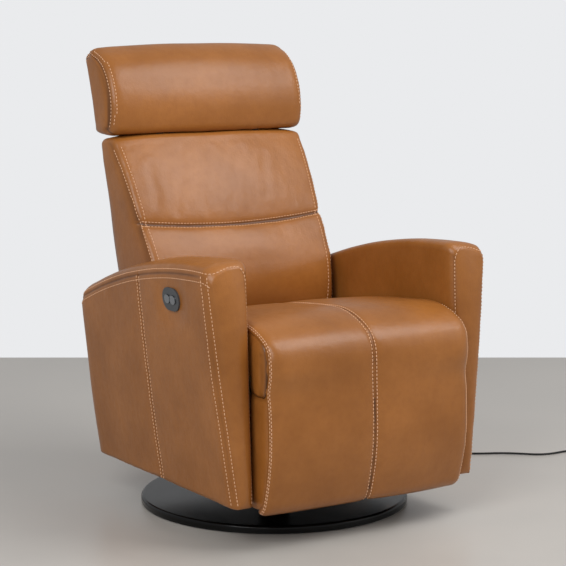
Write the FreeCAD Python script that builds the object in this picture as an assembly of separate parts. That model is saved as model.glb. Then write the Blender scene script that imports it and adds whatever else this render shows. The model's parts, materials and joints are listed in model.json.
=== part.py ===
import FreeCAD, Part
import math
import os

# Power swivel recliner, in millimetres.
# +Z is up, the chair faces -Y, and the origin is on the floor under the swivel axis.

os.makedirs("parts", exist_ok=True)
V = FreeCAD.Vector
AXIS_X = V(1, 0, 0)
AXIS_Z = V(0, 0, 1)

# Clearances and fits
RUN_CLEAR = 0.06       # radial, shaft in a turning bore
GAP = 0.3              # between parts that move past each other closely
POCKET_CLEAR = 2.0     # round a moving steel part inside foam

# Base
FOOT_T = 3.0
FOOT_R = 304.0
DISC_R = 322.0
DISC_T = 17.0
DISC_EDGE_R = 7.0
FLANGE_R = 78.0
FLANGE_T = 8.0
POST_R = 30.0
POST_WALL = 4.0
POST_H = 66.0
BOLT_COUNT = 6
BOLT_PCD_R = 60.0
BOLT_R = 4.0
BOLT_HEAD_R = 6.5
BOLT_HEAD_T = 5.0
BOLT_DEPTH = 11.0
THRUST_R = 42.0
THRUST_T = 6.0
CONNECTOR_T = 26.0

# Swivel hub, and the bar that the arms stand on
CHAIR_BOTTOM = 100.0
HUB_WALL = 8.0
HUB_PLATE_T = 10.0
HUB_PLATE_X = 220.0
HUB_PLATE_Y = 430.0
HUB_LEAD_R = 12.0
ARM_BAR_LAP = 2.0      # of the bar's end under the arm board
ARM_BAR_W = 50.0
ARM_BAR_T = 16.0
ARM_BAR_Y = -35.0

# Seat steelwork and frame
SIDE_TUCK = 8.0        # side plates stand this far under the seat cushion's edge
SIDE_T = 4.0
SIDE_FRONT = -300.0
SIDE_REAR = 245.0
TUBE = 30.0
TUBE_WALL = 2.5
TUBE_FRONT_Y = -190.0
TUBE_REAR_Y = 185.0
FRAME_TOP = 380.0
RAIL_H = 40.0
RAIL_T = 18.0
FRAME_FRONT = -318.0
FRAME_REAR = 150.0
FRAME_CROSS_Y = -262.0
WEB_T = 2.0
WEB_W = 46.0
WEB_COUNT = 5
PANEL_T = 15.0
PANEL_LAP = 2.0        # the rear panel is this much wider than the seat on each side
PANEL_RISE = 20.0      # over the frame's top

# Seat cushion
SEAT_HALF = 266.0
SEAT_REAR_Y = 115.0
SEAT_REAR_RISE = 67.0  # heights over the webbing
SEAT_CREST_Y = -262.0
SEAT_CREST_RISE = 118.0
NOSE_TOP_Y = -388.0
NOSE_TOP_RISE = 91.0
NOSE_FRONT_Y = -419.0
NOSE_FRONT_RISE = 2.0  # over the footrest pivot
NOSE_TURN = 208.0      # degrees about the footrest pivot, where the nose's lower corner starts
NOSE_CROWN = 4.0
SEAT_TOP_BOW = 6.0
NOSE_TOP_BOW = 9.5
NOSE_FRONT_BOW = 7.5
SEAT_CROWN = 10.0
SEAT_SIDE_ROUND = 16.0

# Footrest pivot, pad, board and hinge arms
FOOT_PIVOT_Y = -380.0
FOOT_PIVOT_RISE = 45.0 # over the frame's top
FOOT_SWING = 83.0      # degrees from hanging to raised
NOSE_ROUND = 50.0      # the nose's lower corner, about the pivot
PAD_TOP = 53.0         # pad's top edge below the pivot
PAD_REAR_Y = -362.0
PAD_FULL_Y = -427.0    # front of the pad where it is fullest
PAD_FULL_Z = 300.0
PAD_TOP_Y = -425.5     # front of the pad under its rounded top edge
PAD_LOW_Y = -405.0     # front of the pad over its rounded bottom edge
PAD_BOTTOM_Z = 84.0
PAD_CROWN = 14.0
PAD_SIDE_ROUND = 14.0
PAD_TOP_ROUND = 18.0   # height of the rounded top edge
PAD_TOP_RUN = 6.5
PAD_LOW_ROUND = 22.0   # height of the rounded bottom edge
PAD_LOW_RUN = 18.0
PAD_TOP_BOW = 2.7
PAD_FULL_BOW = 0.8
PAD_FRONT_BOW = 10.0
PAD_LOW_BOW = 6.3
BOARD_T = 12.0
BOARD_INSET_TOP = 12.0
BOARD_INSET_LOW = 28.0
BOARD_INSET_SIDE = 26.0
PIN_R = 6.0
EYE_R = 14.0
HINGE_T = 6.0
HINGE_GAP = 4.0        # hinge arm outside the seat bracket
HINGE_LOW = 250.0      # lower end of the hinge arm on the board
HINGE_DEPTH = 20.0     # how far the arm stands behind the board
HINGE_FLANGE = 24.0
HINGE_FLANGE_T = 3.0
POCKET_REACH = 96.0    # room in the foam for the hinge arm on its way up
POCKET_FROM = 199.0
POCKET_TO = 338.0
BRACKET_H = 35.0
BRACKET_LAP = 2.0      # of the seat bracket behind the front cross rail's edge
BRACKET_NECK_Y = 31.0
BRACKET_NECK_Z = 37.0
CRANK_REACH = 80.0     # crank pin behind the pivot
CRANK_DROP = 105.0     # crank pin below the pivot
LUG_T = 5.0
LUG_IN = 14.0
LUG_HALF = 25.0        # half the lug's height at the board
LUG_EYE_R = 13.0
LUG_STRAP_T = 3.0
LUG_STRAP_TOP = 38.0

# Actuator
ROD_R = 9.0
YOKE_T = 24.0
YOKE_WALL = 8.0
SLOT_PLAY = 3.3        # beside the crank pin, since the crank's arc is not quite steady
SLOT_END = 2.0
TUBE_NOSE = 18.0       # yoke to screw tube when the footrest hangs
SCREW_TUBE_R = 16.0
SCREW_TUBE_L = 225.0
ROD_KEPT = 34.0        # rod still in its tube when it is fully out
GEARBOX_L = 66.0
GEARBOX_W = 56.0
GEARBOX_H = 78.0
MOTOR_R = 22.0
MOTOR_L = 96.0
MOTOR_DROP = 41.0
MOTOR_LUG = 4.0        # gearbox edge past the screw tube
BRACKET_T = 6.0
BRACKET_FOOT_REAR = 34.0
BRACKET_FOOT_FORE = 26.0
BRACKET_HOLD = 30.0    # length of gearbox that the bracket grips
BRACKET_INSET = 8.0
BRACKET_EDGE = 6.0
SUPPLY_X = 74.0
SUPPLY_Y = 120.0
SUPPLY_Z = 38.0
SUPPLY_CLEAR = 6.0
SUPPLY_CORNER_R = 5.0

# Arms
ARM_GAP = 6.0          # between the seat cushion and an arm
ARM_TOP_W = 108.0
ARM_LOW_W = 52.0
ARM_FRONT_TOP_Y = -334.0
ARM_FRONT_LOW_Y = -362.0
ARM_REAR_TOP_Y = 267.0
ARM_REAR_LOW_Y = 282.0
ARM_CREST_REAR_Z = 516.0
ARM_CREST_MID_Z = 610.0
ARM_CREST_FRONT_Z = 641.0
ARM_MID = 0.51         # place of the middle height along the arm
ARM_OUT_R = 28.0
ARM_OUT_TURN = math.radians(68)
ARM_IN_R = 14.0
ARM_IN_TURN = math.radians(84)
ARM_CROWN = 4.0
ARM_TOP_FALL = 11.0    # the outer edge lies this much lower than the crest
ARM_BULGE = 4.0
ARM_END_ROUND = 26.0   # length of the rounding at each end
ARM_END_SIDE = 12.0    # how far the outer side draws in there
ARM_END_INNER = 3.0    # and the inner side
ARM_END_FALL = 19.0    # and the top
ARM_FOAM = 12.0        # inside the arm board
ARM_BOARD_T = 18.0
ARM_BOARD_FRONT = -300.0
ARM_BOARD_REAR = 236.0
ARM_BOARD_TOP = 430.0
COLLAR_R = 11.0
ARM_BOLT_R = 5.0
ARM_BOLT_HEAD_R = 9.0
ARM_BOLT_HEAD_T = 4.0
ARM_BOLT_GRIP = 12.0   # bolt inside the board
ARM_BOLT_YS = (-250.0, 205.0)
ARM_BOLT_ZS = (170.0, 330.0)

# Control on the left arm
CONTROL_Y = -166.0
CONTROL_Z = 543.0
BEZEL_L = 52.0
BEZEL_H = 74.0
BEZEL_PROUD = 3.5
BEZEL_IN = 3.0
SWITCH_L = 34.0
SWITCH_H = 52.0
SWITCH_DEPTH = 26.0
BUTTON_L = 23.0
BUTTON_H = 20.0
BUTTON_PITCH = 25.0
BUTTON_PROUD = 2.6
BUTTON_STROKE = 1.5
BUTTON_CLEAR = 0.5
BUTTON_DEPTH = 9.0
DOME_R = 4.0
DOME_T = 6.0

# Back
BACK_PIVOT_Y = 215.0
BACK_PIVOT_RISE = 50.0 # over the frame's top
BACK_LOW_RISE = 10.0   # over the back pivot
BACK_LOW_Y = 120.0
BACK_KNEE_Y = 135.0
BACK_KNEE_Z = 567.0
BACK_SEAM_Y = 191.0
BACK_SEAM_Z = 668.0
BACK_TOP_Y = 303.0
BACK_TOP_Z = 856.0
BACK_REAR_TOP_Y = 373.0
BACK_REAR_LOW_Y = 311.0
BACK_TAPER = 24.0      # the back is this much narrower at its foot, on each side
BACK_OVER = 4.0        # and at its top wider than the seat
BACK_CROWN = 12.0
BACK_PUFF = 4.5        # of each panel, on top of its bow at the sides
BACK_SEAM_DIP = 3.0
BACK_SIDE_ROUND = 14.0
BACK_EDGE_R = 18.0     # rounded front edges, at the foot and at the top
BACK_TOP_ROUND = 12.0
BACK_REAR_ROUND = 10.0
BACK_LOW_BOW = 5.0
BACK_MID_BOW = 2.3
BACK_UP_BOW = 6.4
BACK_EDGE_BOW = 5.3
BACK_TOP_BOW = 3.9
BACK_REAR_BOW = 3.2
UPRIGHT_T = 21.0
UPRIGHT_D = 42.0
UPRIGHT_INSET = 21.0   # below the back's top
UPRIGHT_LOW = 478.0
CROSS_H = 40.0
CROSS_D = 25.0
CROSS_LOW_Z = 500.0
CROSS_MID_INSET = 196.0
CROSS_TOP_INSET = 24.0
BACK_PLATE_T = 6.0
BACK_PLATE_GAP = 0.5
BACK_PLATE_W = 40.0
BACK_EYE_R = 20.0
BACK_PLATE_TOP = 560.0
BACK_WEB_COUNT = 3
BACK_WEB_FIRST = 585.0
BACK_WEB_PITCH = 80.0
PIN_END = 3.0          # pins reach this far past the plate that holds them
PIN_HEAD_R = 10.0

# Headrest
HEAD_SLIDE = 60.0
HEAD_PIVOT_Y = 318.0
HEAD_PIVOT_RISE = 10.0 # over the back's top
HEAD_BOTTOM_RISE = 11.0    # over its pivot
HEAD_FRONT_Y = 290.0
HEAD_FRONT_RISE = 63.0     # fullest line of the front, over the bottom
HEAD_H = 202.0
HEAD_LIP_Y = 459.0
HEAD_LIP_FALL = 23.0       # lip below the top
HEAD_REAR_LOW_Y = 403.0
HEAD_CROWN = 10.0
HEAD_TOP_CROWN = 4.0
HEAD_SIDE_ROUND = 14.0
HEAD_LOW_RUN = 20.0    # rounded lower front edge
HEAD_LOW_RISE = 22.0
HEAD_UP_Y = 12.0       # front face over the fullest line: back by this,
HEAD_UP_Z = 58.0       # and up by this
HEAD_TOP_RUN = 92.0    # start of the flat top behind the fullest line
HEAD_LIP_R = 18.0
HEAD_LIP_DROP = 18.0
HEAD_LOW_BOW = 6.0
HEAD_FRONT_BOW = 8.0
HEAD_BROW_BOW = 13.5
HEAD_TOP_BOW = 7.3
HEAD_LIP_BOW = 12.0
POST_ROD_R = 6.0
POST_ROD_X = 120.0
POST_KEPT = 126.0      # post below its hinge, in the back, when the headrest is fully up
GUIDE_R = 10.0
GUIDE_TAIL = 26.0      # guide below its cross rail
HEAD_PIN_R = 4.0
KNUCKLE_R = 6.5
BLOCK_W = 16.0
KNUCKLE_W = 18.0
HEAD_PLATE_T = 3.0
HEAD_PLATE_HALF = 160.0
HEAD_PLATE_D = 74.0

# Power lead
CORD_R = 2.6
INLET_Y = 200.0
INLET_X = 190.0
INLET_L = 74.0
INLET_W = 46.0
INLET_H = 30.0
INLET_TURN = 22.0      # degrees from +X, the way the lead leaves
RELIEF_L = 30.0
RELIEF_R0 = 6.5
INLET_CORNER_R = 6.0
COIL_GAP = 0.5
COIL_MID_R = 31.0
COIL_TURNS = 3.25      # in each of the two layers
COIL_TAIL = 24.0       # straight from the last turn to the plug
PLUG_L = 38.0
PLUG_W = 25.0
PLUG_H = 17.0
PLUG_EDGE_R = 4.0
PLUG_NECK_R = 6.5
PLUG_NECK_L = 12.0
PRONG_L = 17.0
PRONG_W = 6.3
PRONG_T = 1.5
PRONG_PITCH = 12.7

# Widths, heights and places worked out from the sizes above
SIDE_IN = SEAT_HALF - SIDE_TUCK
PANEL_HALF = SEAT_HALF + PANEL_LAP
PAD_HALF = SEAT_HALF
BOARD_HALF = PAD_HALF - BOARD_INSET_SIDE
HINGE_IN = SIDE_IN - RAIL_T + HINGE_GAP
ARM_IN = SEAT_HALF + ARM_GAP
ARM_TOP_OUT = ARM_IN + ARM_TOP_W
ARM_LOW_OUT = ARM_IN + ARM_LOW_W
ARM_BOARD_IN = ARM_IN + ARM_FOAM
ARM_BAR_L = 2 * (ARM_BOARD_IN + ARM_BAR_LAP)
BACK_HALF_TOP = SEAT_HALF + BACK_OVER
BACK_HALF_LOW = BACK_HALF_TOP - BACK_TAPER
HEAD_HALF = SEAT_HALF
DISC_TOP = FOOT_T + DISC_T
FLANGE_TOP = DISC_TOP + FLANGE_T
THRUST_TOP = FLANGE_TOP + THRUST_T
SLEEVE_R = POST_R + RUN_CLEAR
SLEEVE_OUT_R = SLEEVE_R + HUB_WALL
SIDE_OUT = SIDE_IN + SIDE_T
CUSHION_Z = FRAME_TOP + WEB_T
PANEL_TOP = FRAME_TOP + PANEL_RISE
SEAT_REAR_Z = CUSHION_Z + SEAT_REAR_RISE
SEAT_CREST_Z = CUSHION_Z + SEAT_CREST_RISE
NOSE_TOP_Z = CUSHION_Z + NOSE_TOP_RISE
FOOT_PIVOT_Z = FRAME_TOP + FOOT_PIVOT_RISE
NOSE_FRONT_Z = FOOT_PIVOT_Z + NOSE_FRONT_RISE
BRACKET_LOW = FRAME_TOP - BRACKET_H
BACK_PIVOT_Z = FRAME_TOP + BACK_PIVOT_RISE
BACK_LOW_Z = BACK_PIVOT_Z + BACK_LOW_RISE
UPRIGHT_TOP = BACK_TOP_Z - UPRIGHT_INSET
CROSS_TOP_Z = BACK_TOP_Z - CROSS_TOP_INSET
CROSS_MID_Z = BACK_TOP_Z - CROSS_MID_INSET
HEAD_PIVOT_Z = BACK_TOP_Z + HEAD_PIVOT_RISE
HEAD_BOTTOM_Z = HEAD_PIVOT_Z + HEAD_BOTTOM_RISE
HEAD_FRONT_Z = HEAD_BOTTOM_Z + HEAD_FRONT_RISE
HEAD_TOP_Z = HEAD_BOTTOM_Z + HEAD_H
HEAD_LIP_Z = HEAD_TOP_Z - HEAD_LIP_FALL
BOARD_REAR_Y = PAD_REAR_Y + BOARD_T
PAD_TOP_Z = FOOT_PIVOT_Z - PAD_TOP
BOARD_TOP = PAD_TOP_Z - BOARD_INSET_TOP
BOARD_BOTTOM = PAD_BOTTOM_Z + BOARD_INSET_LOW
FRAME_LEAN = math.radians(16.6)
BACK_UP = V(0, math.sin(FRAME_LEAN), math.cos(FRAME_LEAN))
BACK_FORE = V(0, -math.cos(FRAME_LEAN), math.sin(FRAME_LEAN))
POST_ROD_L = POST_KEPT + HEAD_SLIDE


def save(name, shape):
    shape.exportStep("parts/" + name + ".step")


def box(x0, x1, y0, y1, z0, z1):
    return Part.makeBox(x1 - x0, y1 - y0, z1 - z0, V(x0, y0, z0))


def rod(radius, start, end):
    line = end - start
    return Part.makeCylinder(radius, line.Length, start, line)


def ring(outer, inner, z0, z1):
    outside = Part.makeCylinder(outer, z1 - z0, V(0, 0, z0))
    return outside.cut(Part.makeCylinder(inner, z1 - z0, V(0, 0, z0)))


def wire_through(points):
    # A point alone is the end of a line; a pair of points is an arc's middle and its end.
    edges = []
    here = points[0]
    for step in points[1:]:
        if isinstance(step, tuple):
            edges.append(Part.Arc(here, step[0], step[1]).toShape())
            here = step[1]
        elif (step - here).Length > 1e-6:
            edges.append(Part.LineSegment(here, step).toShape())
            here = step
    return Part.Wire(edges)


def bow(start, end, sag):
    # An arc's middle and end, where the arc stands out by sag from the line between its ends.
    # The cushions' outlines run up the rear, forward over the top and down the front.
    line = end - start
    out = V(0, line.z, -line.y)
    out.normalize()
    return ((start + end) * 0.5 + out * sag, end)


def side_plate(x0, x1, steps):
    # A flat plate across X, from an outline of (y, z) points and (y, z, y, z) arcs.
    points = []
    for step in steps:
        if len(step) == 2:
            points.append(V(x0, step[0], step[1]))
        else:
            points.append((V(x0, step[0], step[1]), V(x0, step[2], step[3])))
    points.append(points[0])
    return Part.Face(wire_through(points)).extrude(V(x1 - x0, 0, 0))


def both_sides(make):
    # The same piece on the left (-X) and on the right (+X).
    right = make()
    left = right.mirror(V(0, 0, 0), AXIS_X)
    return left, right


def edge_inset(x, half, rounding):
    # How far a cushion's outline draws in at x, so that its side edges are round.
    depth = abs(x) - (half - rounding)
    if depth <= 0:
        return 0.0
    share = min(depth / rounding, 1.0)
    return rounding * (1.0 - math.sqrt(1.0 - share * share))


def crown_at(x, half, crown):
    return crown * (1.0 - (x / half) ** 2)


def stations(half, rounding):
    # Places across the width: close together at the round side edges.
    right = [0.0, half * 0.3, half * 0.58, half * 0.8, half - rounding]
    right += [half - rounding * 0.35, half - rounding * 0.08]
    return [-x for x in reversed(right[1:])] + right


def loft(wires):
    return Part.makeLoft(wires, True, True)


def base_disc():
    disc = Part.makeCylinder(DISC_R, DISC_T, V(0, 0, FOOT_T))
    rims = [e for e in disc.Edges if abs(e.BoundBox.ZMin - DISC_TOP) < 0.01 and e.BoundBox.ZLength < 0.01]
    disc = disc.makeFillet(DISC_EDGE_R, rims)
    for x, y in bolt_places():
        disc = disc.cut(Part.makeCylinder(BOLT_R, BOLT_DEPTH, V(x, y, DISC_TOP - BOLT_DEPTH)))
    return disc


def foot_pad():
    return Part.makeCylinder(FOOT_R, FOOT_T)


def bolt_places():
    places = []
    for index in range(BOLT_COUNT):
        angle = 2 * math.pi * index / BOLT_COUNT
        places.append((BOLT_PCD_R * math.cos(angle), BOLT_PCD_R * math.sin(angle)))
    return places


def swivel_post():
    flange = Part.makeCylinder(FLANGE_R, FLANGE_T, V(0, 0, DISC_TOP))
    post = Part.makeCylinder(POST_R, FLANGE_T + POST_H, V(0, 0, DISC_TOP))
    bore = Part.makeCylinder(POST_R - POST_WALL, FLANGE_T + POST_H, V(0, 0, DISC_TOP))
    body = flange.fuse(post).cut(bore)
    for x, y in bolt_places():
        body = body.cut(Part.makeCylinder(BOLT_R, FLANGE_T, V(x, y, DISC_TOP)))
    return body.removeSplitter()


def flange_bolts():
    bolts = []
    for x, y in bolt_places():
        shank = Part.makeCylinder(BOLT_R, BOLT_DEPTH + FLANGE_T, V(x, y, DISC_TOP - BOLT_DEPTH))
        head = Part.makeCylinder(BOLT_HEAD_R, BOLT_HEAD_T, V(x, y, FLANGE_TOP))
        bolts.append(shank.fuse(head).removeSplitter())
    return Part.makeCompound(bolts)


def thrust_washer():
    return ring(THRUST_R, POST_R, FLANGE_TOP, THRUST_TOP)


def rotary_connector():
    top = FLANGE_TOP + POST_H
    return Part.makeCylinder(POST_R - POST_WALL, CONNECTOR_T, V(0, 0, top - CONNECTOR_T))


def swivel_hub():
    low = THRUST_TOP + GAP
    plate_low = CHAIR_BOTTOM - HUB_PLATE_T
    sleeve = Part.makeCylinder(SLEEVE_OUT_R, CHAIR_BOTTOM - low, V(0, 0, low))
    plate = box(-HUB_PLATE_X / 2, HUB_PLATE_X / 2, -HUB_PLATE_Y / 2, HUB_PLATE_Y / 2, plate_low, CHAIR_BOTTOM)
    bar = box(-ARM_BAR_L / 2, ARM_BAR_L / 2, ARM_BAR_Y - ARM_BAR_W / 2, ARM_BAR_Y + ARM_BAR_W / 2,
              CHAIR_BOTTOM - ARM_BAR_T, CHAIR_BOTTOM)
    post_room = FLANGE_TOP + POST_H + GAP
    bore = Part.makeCylinder(SLEEVE_R, post_room - low, V(0, 0, low))
    lead_hole = Part.makeCylinder(HUB_LEAD_R, CHAIR_BOTTOM - low, V(0, 0, low))
    return sleeve.fuse(plate).fuse(bar).cut(bore).cut(lead_hole).removeSplitter()


def cross_tube(y):
    outer = box(-SIDE_IN, SIDE_IN, y - TUBE / 2, y + TUBE / 2, CHAIR_BOTTOM, CHAIR_BOTTOM + TUBE)
    inner = box(-SIDE_IN, SIDE_IN, y - TUBE / 2 + TUBE_WALL, y + TUBE / 2 - TUBE_WALL,
                CHAIR_BOTTOM + TUBE_WALL, CHAIR_BOTTOM + TUBE - TUBE_WALL)
    return outer.cut(inner)


def side_frame_plate():
    py = BACK_PIVOT_Y
    pz = BACK_PIVOT_Z
    eye = BACK_EYE_R
    outline = [(SIDE_FRONT, CHAIR_BOTTOM), (SIDE_FRONT, FRAME_TOP), (FRAME_REAR, FRAME_TOP),
               (py - eye, pz), (py, pz + eye, py + eye, pz), (SIDE_REAR, FRAME_TOP),
               (SIDE_REAR, CHAIR_BOTTOM)]
    plate = side_plate(SIDE_IN, SIDE_OUT, outline)
    plate = plate.cut(rod(PIN_R, V(SIDE_IN, py, pz), V(SIDE_OUT, py, pz)))
    for y in ARM_BOLT_YS:
        for z in ARM_BOLT_ZS:
            plate = plate.cut(rod(ARM_BOLT_R, V(SIDE_IN, y, z), V(SIDE_OUT, y, z)))
    return plate


def seat_frame():
    low = FRAME_TOP - RAIL_H
    inner = SIDE_IN - RAIL_T
    frame = box(inner, SIDE_IN, FRAME_FRONT, FRAME_REAR, low, FRAME_TOP)
    frame = frame.fuse(box(-SIDE_IN, -inner, FRAME_FRONT, FRAME_REAR, low, FRAME_TOP))
    for y in (FRAME_CROSS_Y, FRAME_REAR - RAIL_T):
        frame = frame.fuse(box(-inner, inner, y, y + RAIL_T, low, FRAME_TOP))
    return frame.removeSplitter()


def seat_webbing():
    first = FRAME_CROSS_Y + WEB_W / 2
    last = FRAME_REAR - WEB_W / 2
    straps = []
    for index in range(WEB_COUNT):
        y = first + (last - first) * index / (WEB_COUNT - 1)
        straps.append(box(-SIDE_IN, SIDE_IN, y - WEB_W / 2, y + WEB_W / 2, FRAME_TOP, CUSHION_Z))
    return Part.makeCompound(straps)


def rear_panel():
    return box(-PANEL_HALF, PANEL_HALF, SIDE_REAR, SIDE_REAR + PANEL_T, CHAIR_BOTTOM, PANEL_TOP)


def pivot_point(distance, degrees):
    # A point at a distance and direction from the footrest pivot, as (y, z).
    angle = math.radians(degrees)
    return (FOOT_PIVOT_Y + distance * math.cos(angle), FOOT_PIVOT_Z + distance * math.sin(angle))


def seat_section(x):
    inset = edge_inset(x, SEAT_HALF, SEAT_SIDE_ROUND)
    lift = crown_at(x, SEAT_HALF, SEAT_CROWN) - inset
    fore = crown_at(x, SEAT_HALF, NOSE_CROWN) - inset
    low = CUSHION_Z
    rear = V(x, SEAT_REAR_Y - inset, SEAT_REAR_Z - inset)
    crest = V(x, SEAT_CREST_Y, SEAT_CREST_Z + lift)
    brow = V(x, NOSE_TOP_Y + inset, NOSE_TOP_Z + lift * 0.7)
    front = V(x, NOSE_FRONT_Y - fore, NOSE_FRONT_Z)
    under = V(x, FOOT_PIVOT_Y - math.sqrt(NOSE_ROUND ** 2 - (FOOT_PIVOT_Z - low) ** 2), low)
    end_turn = math.degrees(math.atan2(under.z - FOOT_PIVOT_Z, under.y - FOOT_PIVOT_Y)) + 360
    corner = pivot_point(NOSE_ROUND - inset * 0.5, NOSE_TURN)
    bend = pivot_point(NOSE_ROUND - inset * 0.25, (NOSE_TURN + end_turn) / 2)
    points = [V(x, rear.y, low), rear, bow(rear, crest, SEAT_TOP_BOW + lift / 2), bow(crest, brow, NOSE_TOP_BOW),
              bow(brow, front, NOSE_FRONT_BOW), V(x, corner[0], corner[1]),
              (V(x, bend[0], bend[1]), under), V(x, rear.y, low)]
    return wire_through(points)


def hinge_pocket():
    # Room in the foam for the pivot's eyes and for the footrest's hinge arm on its way up.
    x0 = HINGE_IN - HINGE_GAP - HINGE_T - HINGE_GAP
    x1 = HINGE_IN + HINGE_T + POCKET_CLEAR
    third = (POCKET_TO - POCKET_FROM) / 3
    far = POCKET_REACH / math.cos(math.radians(third / 2))
    steps = [pivot_point(0, 0), pivot_point(POCKET_REACH, POCKET_FROM), pivot_point(far * 1.1, POCKET_FROM + third),
             pivot_point(far * 1.1, POCKET_TO - third), pivot_point(far, POCKET_TO)]
    wedge = side_plate(x0, x1, steps)
    eye = rod(EYE_R * 2, V(x0, FOOT_PIVOT_Y, FOOT_PIVOT_Z), V(x1, FOOT_PIVOT_Y, FOOT_PIVOT_Z))
    return wedge.fuse(eye)


def seat_cushion():
    body = loft([seat_section(x) for x in stations(SEAT_HALF, SEAT_SIDE_ROUND)])
    right = hinge_pocket()
    left = right.mirror(V(0, 0, 0), AXIS_X)
    return body.cut(right).cut(left)


def pad_section(x):
    inset = edge_inset(x, PAD_HALF, PAD_SIDE_ROUND)
    fore = crown_at(x, PAD_HALF, PAD_CROWN) - inset - PAD_CROWN
    low = PAD_BOTTOM_Z + inset * 0.5
    top_edge = V(x, PAD_TOP_Y + PAD_TOP_RUN - fore, PAD_TOP_Z)
    top = V(x, PAD_TOP_Y - fore, PAD_TOP_Z - PAD_TOP_ROUND)
    full = V(x, PAD_FULL_Y - fore, PAD_FULL_Z)
    bottom = V(x, PAD_LOW_Y - fore, low + PAD_LOW_ROUND)
    bottom_edge = V(x, PAD_LOW_Y + PAD_LOW_RUN - fore, low)
    points = [V(x, PAD_REAR_Y, low), V(x, PAD_REAR_Y, PAD_TOP_Z), top_edge, bow(top_edge, top, PAD_TOP_BOW),
              bow(top, full, PAD_FULL_BOW), bow(full, bottom, PAD_FRONT_BOW),
              bow(bottom, bottom_edge, PAD_LOW_BOW), V(x, PAD_REAR_Y, low)]
    return wire_through(points)


def footrest_pad():
    return loft([pad_section(x) for x in stations(PAD_HALF, PAD_SIDE_ROUND)])


def footrest_board():
    return box(-BOARD_HALF, BOARD_HALF, PAD_REAR_Y, BOARD_REAR_Y, BOARD_BOTTOM, BOARD_TOP)


def footrest_hinge_arm():
    # From the eye at the pivot down to the board's back, with a flange screwed to the board.
    py = FOOT_PIVOT_Y
    pz = FOOT_PIVOT_Z
    eye = EYE_R
    rear = BOARD_REAR_Y + HINGE_DEPTH
    outline = [(BOARD_REAR_Y, HINGE_LOW), (BOARD_REAR_Y, BOARD_TOP), (py + 1.5 * eye, PAD_TOP_Z + PIN_R),
               (py - eye, pz), (py, pz + eye, py + eye, pz), (rear, BOARD_TOP + eye), (rear, HINGE_LOW)]
    arm = side_plate(HINGE_IN, HINGE_IN + HINGE_T, outline)
    flange = box(HINGE_IN - HINGE_FLANGE, HINGE_IN, BOARD_REAR_Y, BOARD_REAR_Y + HINGE_FLANGE_T,
                 HINGE_LOW, BOARD_TOP - HINGE_FLANGE_T)
    bore = rod(PIN_R + RUN_CLEAR, V(HINGE_IN, py, pz), V(HINGE_IN + HINGE_T, py, pz))
    return arm.fuse(flange).cut(bore).removeSplitter()


def seat_hinge_bracket():
    # Bolted to the inside of the seat frame's side rail; it carries the pivot pin.
    x1 = SIDE_IN - RAIL_T
    x0 = x1 - HINGE_T
    py = FOOT_PIVOT_Y
    pz = FOOT_PIVOT_Z
    eye = EYE_R
    rear = FRAME_CROSS_Y - BRACKET_LAP
    outline = [(rear, BRACKET_LOW), (FRAME_FRONT, BRACKET_LOW), (py + BRACKET_NECK_Y, pz - BRACKET_NECK_Z),
               (py - eye, pz), (py, pz + eye, py + eye, pz), (FRAME_FRONT, FRAME_TOP), (rear, FRAME_TOP)]
    plate = side_plate(x0, x1, outline)
    return plate.cut(rod(PIN_R, V(x0, py, pz), V(x1, py, pz)))


def footrest_pin():
    x0 = SIDE_IN - RAIL_T - HINGE_T - PIN_END
    return rod(PIN_R, V(x0, FOOT_PIVOT_Y, FOOT_PIVOT_Z), V(HINGE_IN + HINGE_T + 1, FOOT_PIVOT_Y, FOOT_PIVOT_Z))


def crank_lug():
    qy = FOOT_PIVOT_Y + CRANK_REACH
    qz = FOOT_PIVOT_Z - CRANK_DROP
    eye = LUG_EYE_R
    outline = [(BOARD_REAR_Y, qz - LUG_HALF), (BOARD_REAR_Y, qz + LUG_HALF), (qy, qz + eye),
               (qy + eye, qz, qy, qz - eye)]
    right = side_plate(LUG_IN, LUG_IN + LUG_T, outline)
    left = right.mirror(V(0, 0, 0), AXIS_X)
    pin = rod(PIN_R, V(-LUG_IN, qy, qz), V(LUG_IN, qy, qz))
    strap = box(-LUG_IN - LUG_T, LUG_IN + LUG_T, BOARD_REAR_Y, BOARD_REAR_Y + LUG_STRAP_T,
                qz - LUG_HALF, qz + LUG_STRAP_TOP)
    return right.fuse(left).fuse(pin).fuse(strap).removeSplitter()


class Actuator:
    # The rod slides along the chord of the crank pin's arc.
    def __init__(self):
        reach = math.hypot(CRANK_REACH, CRANK_DROP)
        rest = math.atan2(-CRANK_DROP, CRANK_REACH)
        half = math.radians(FOOT_SWING) / 2
        mid = rest - half
        self.reach = reach
        self.half = half
        self.down = V(0, math.cos(mid), math.sin(mid))
        self.along = V(0, math.sin(mid), -math.cos(mid))
        self.wobble = reach * (1 - math.cos(half)) / 2
        centre = reach - self.wobble
        self.middle = V(0, FOOT_PIVOT_Y, FOOT_PIVOT_Z) + self.down * centre
        self.start = -reach * math.sin(half)
        self.stroke = 2 * reach * math.sin(half)
        self.slot_half = self.wobble + PIN_R + SLOT_END
        self.yoke_back = self.start - PIN_R - SLOT_PLAY - YOKE_WALL
        self.tube_front = self.yoke_back - TUBE_NOSE
        self.tube_back = self.tube_front - SCREW_TUBE_L

    def at(self, s, across=0.0, x=0.0):
        point = self.middle + self.along * s + self.down * across
        return V(x, point.y, point.z)

    def block(self, half_x, s0, s1, across0, across1):
        corners = [self.at(s0, across0, -half_x), self.at(s1, across0, -half_x),
                   self.at(s1, across1, -half_x), self.at(s0, across1, -half_x)]
        face = Part.Face(Part.makePolygon(corners + [corners[0]]))
        return face.extrude(V(2 * half_x, 0, 0))


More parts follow.
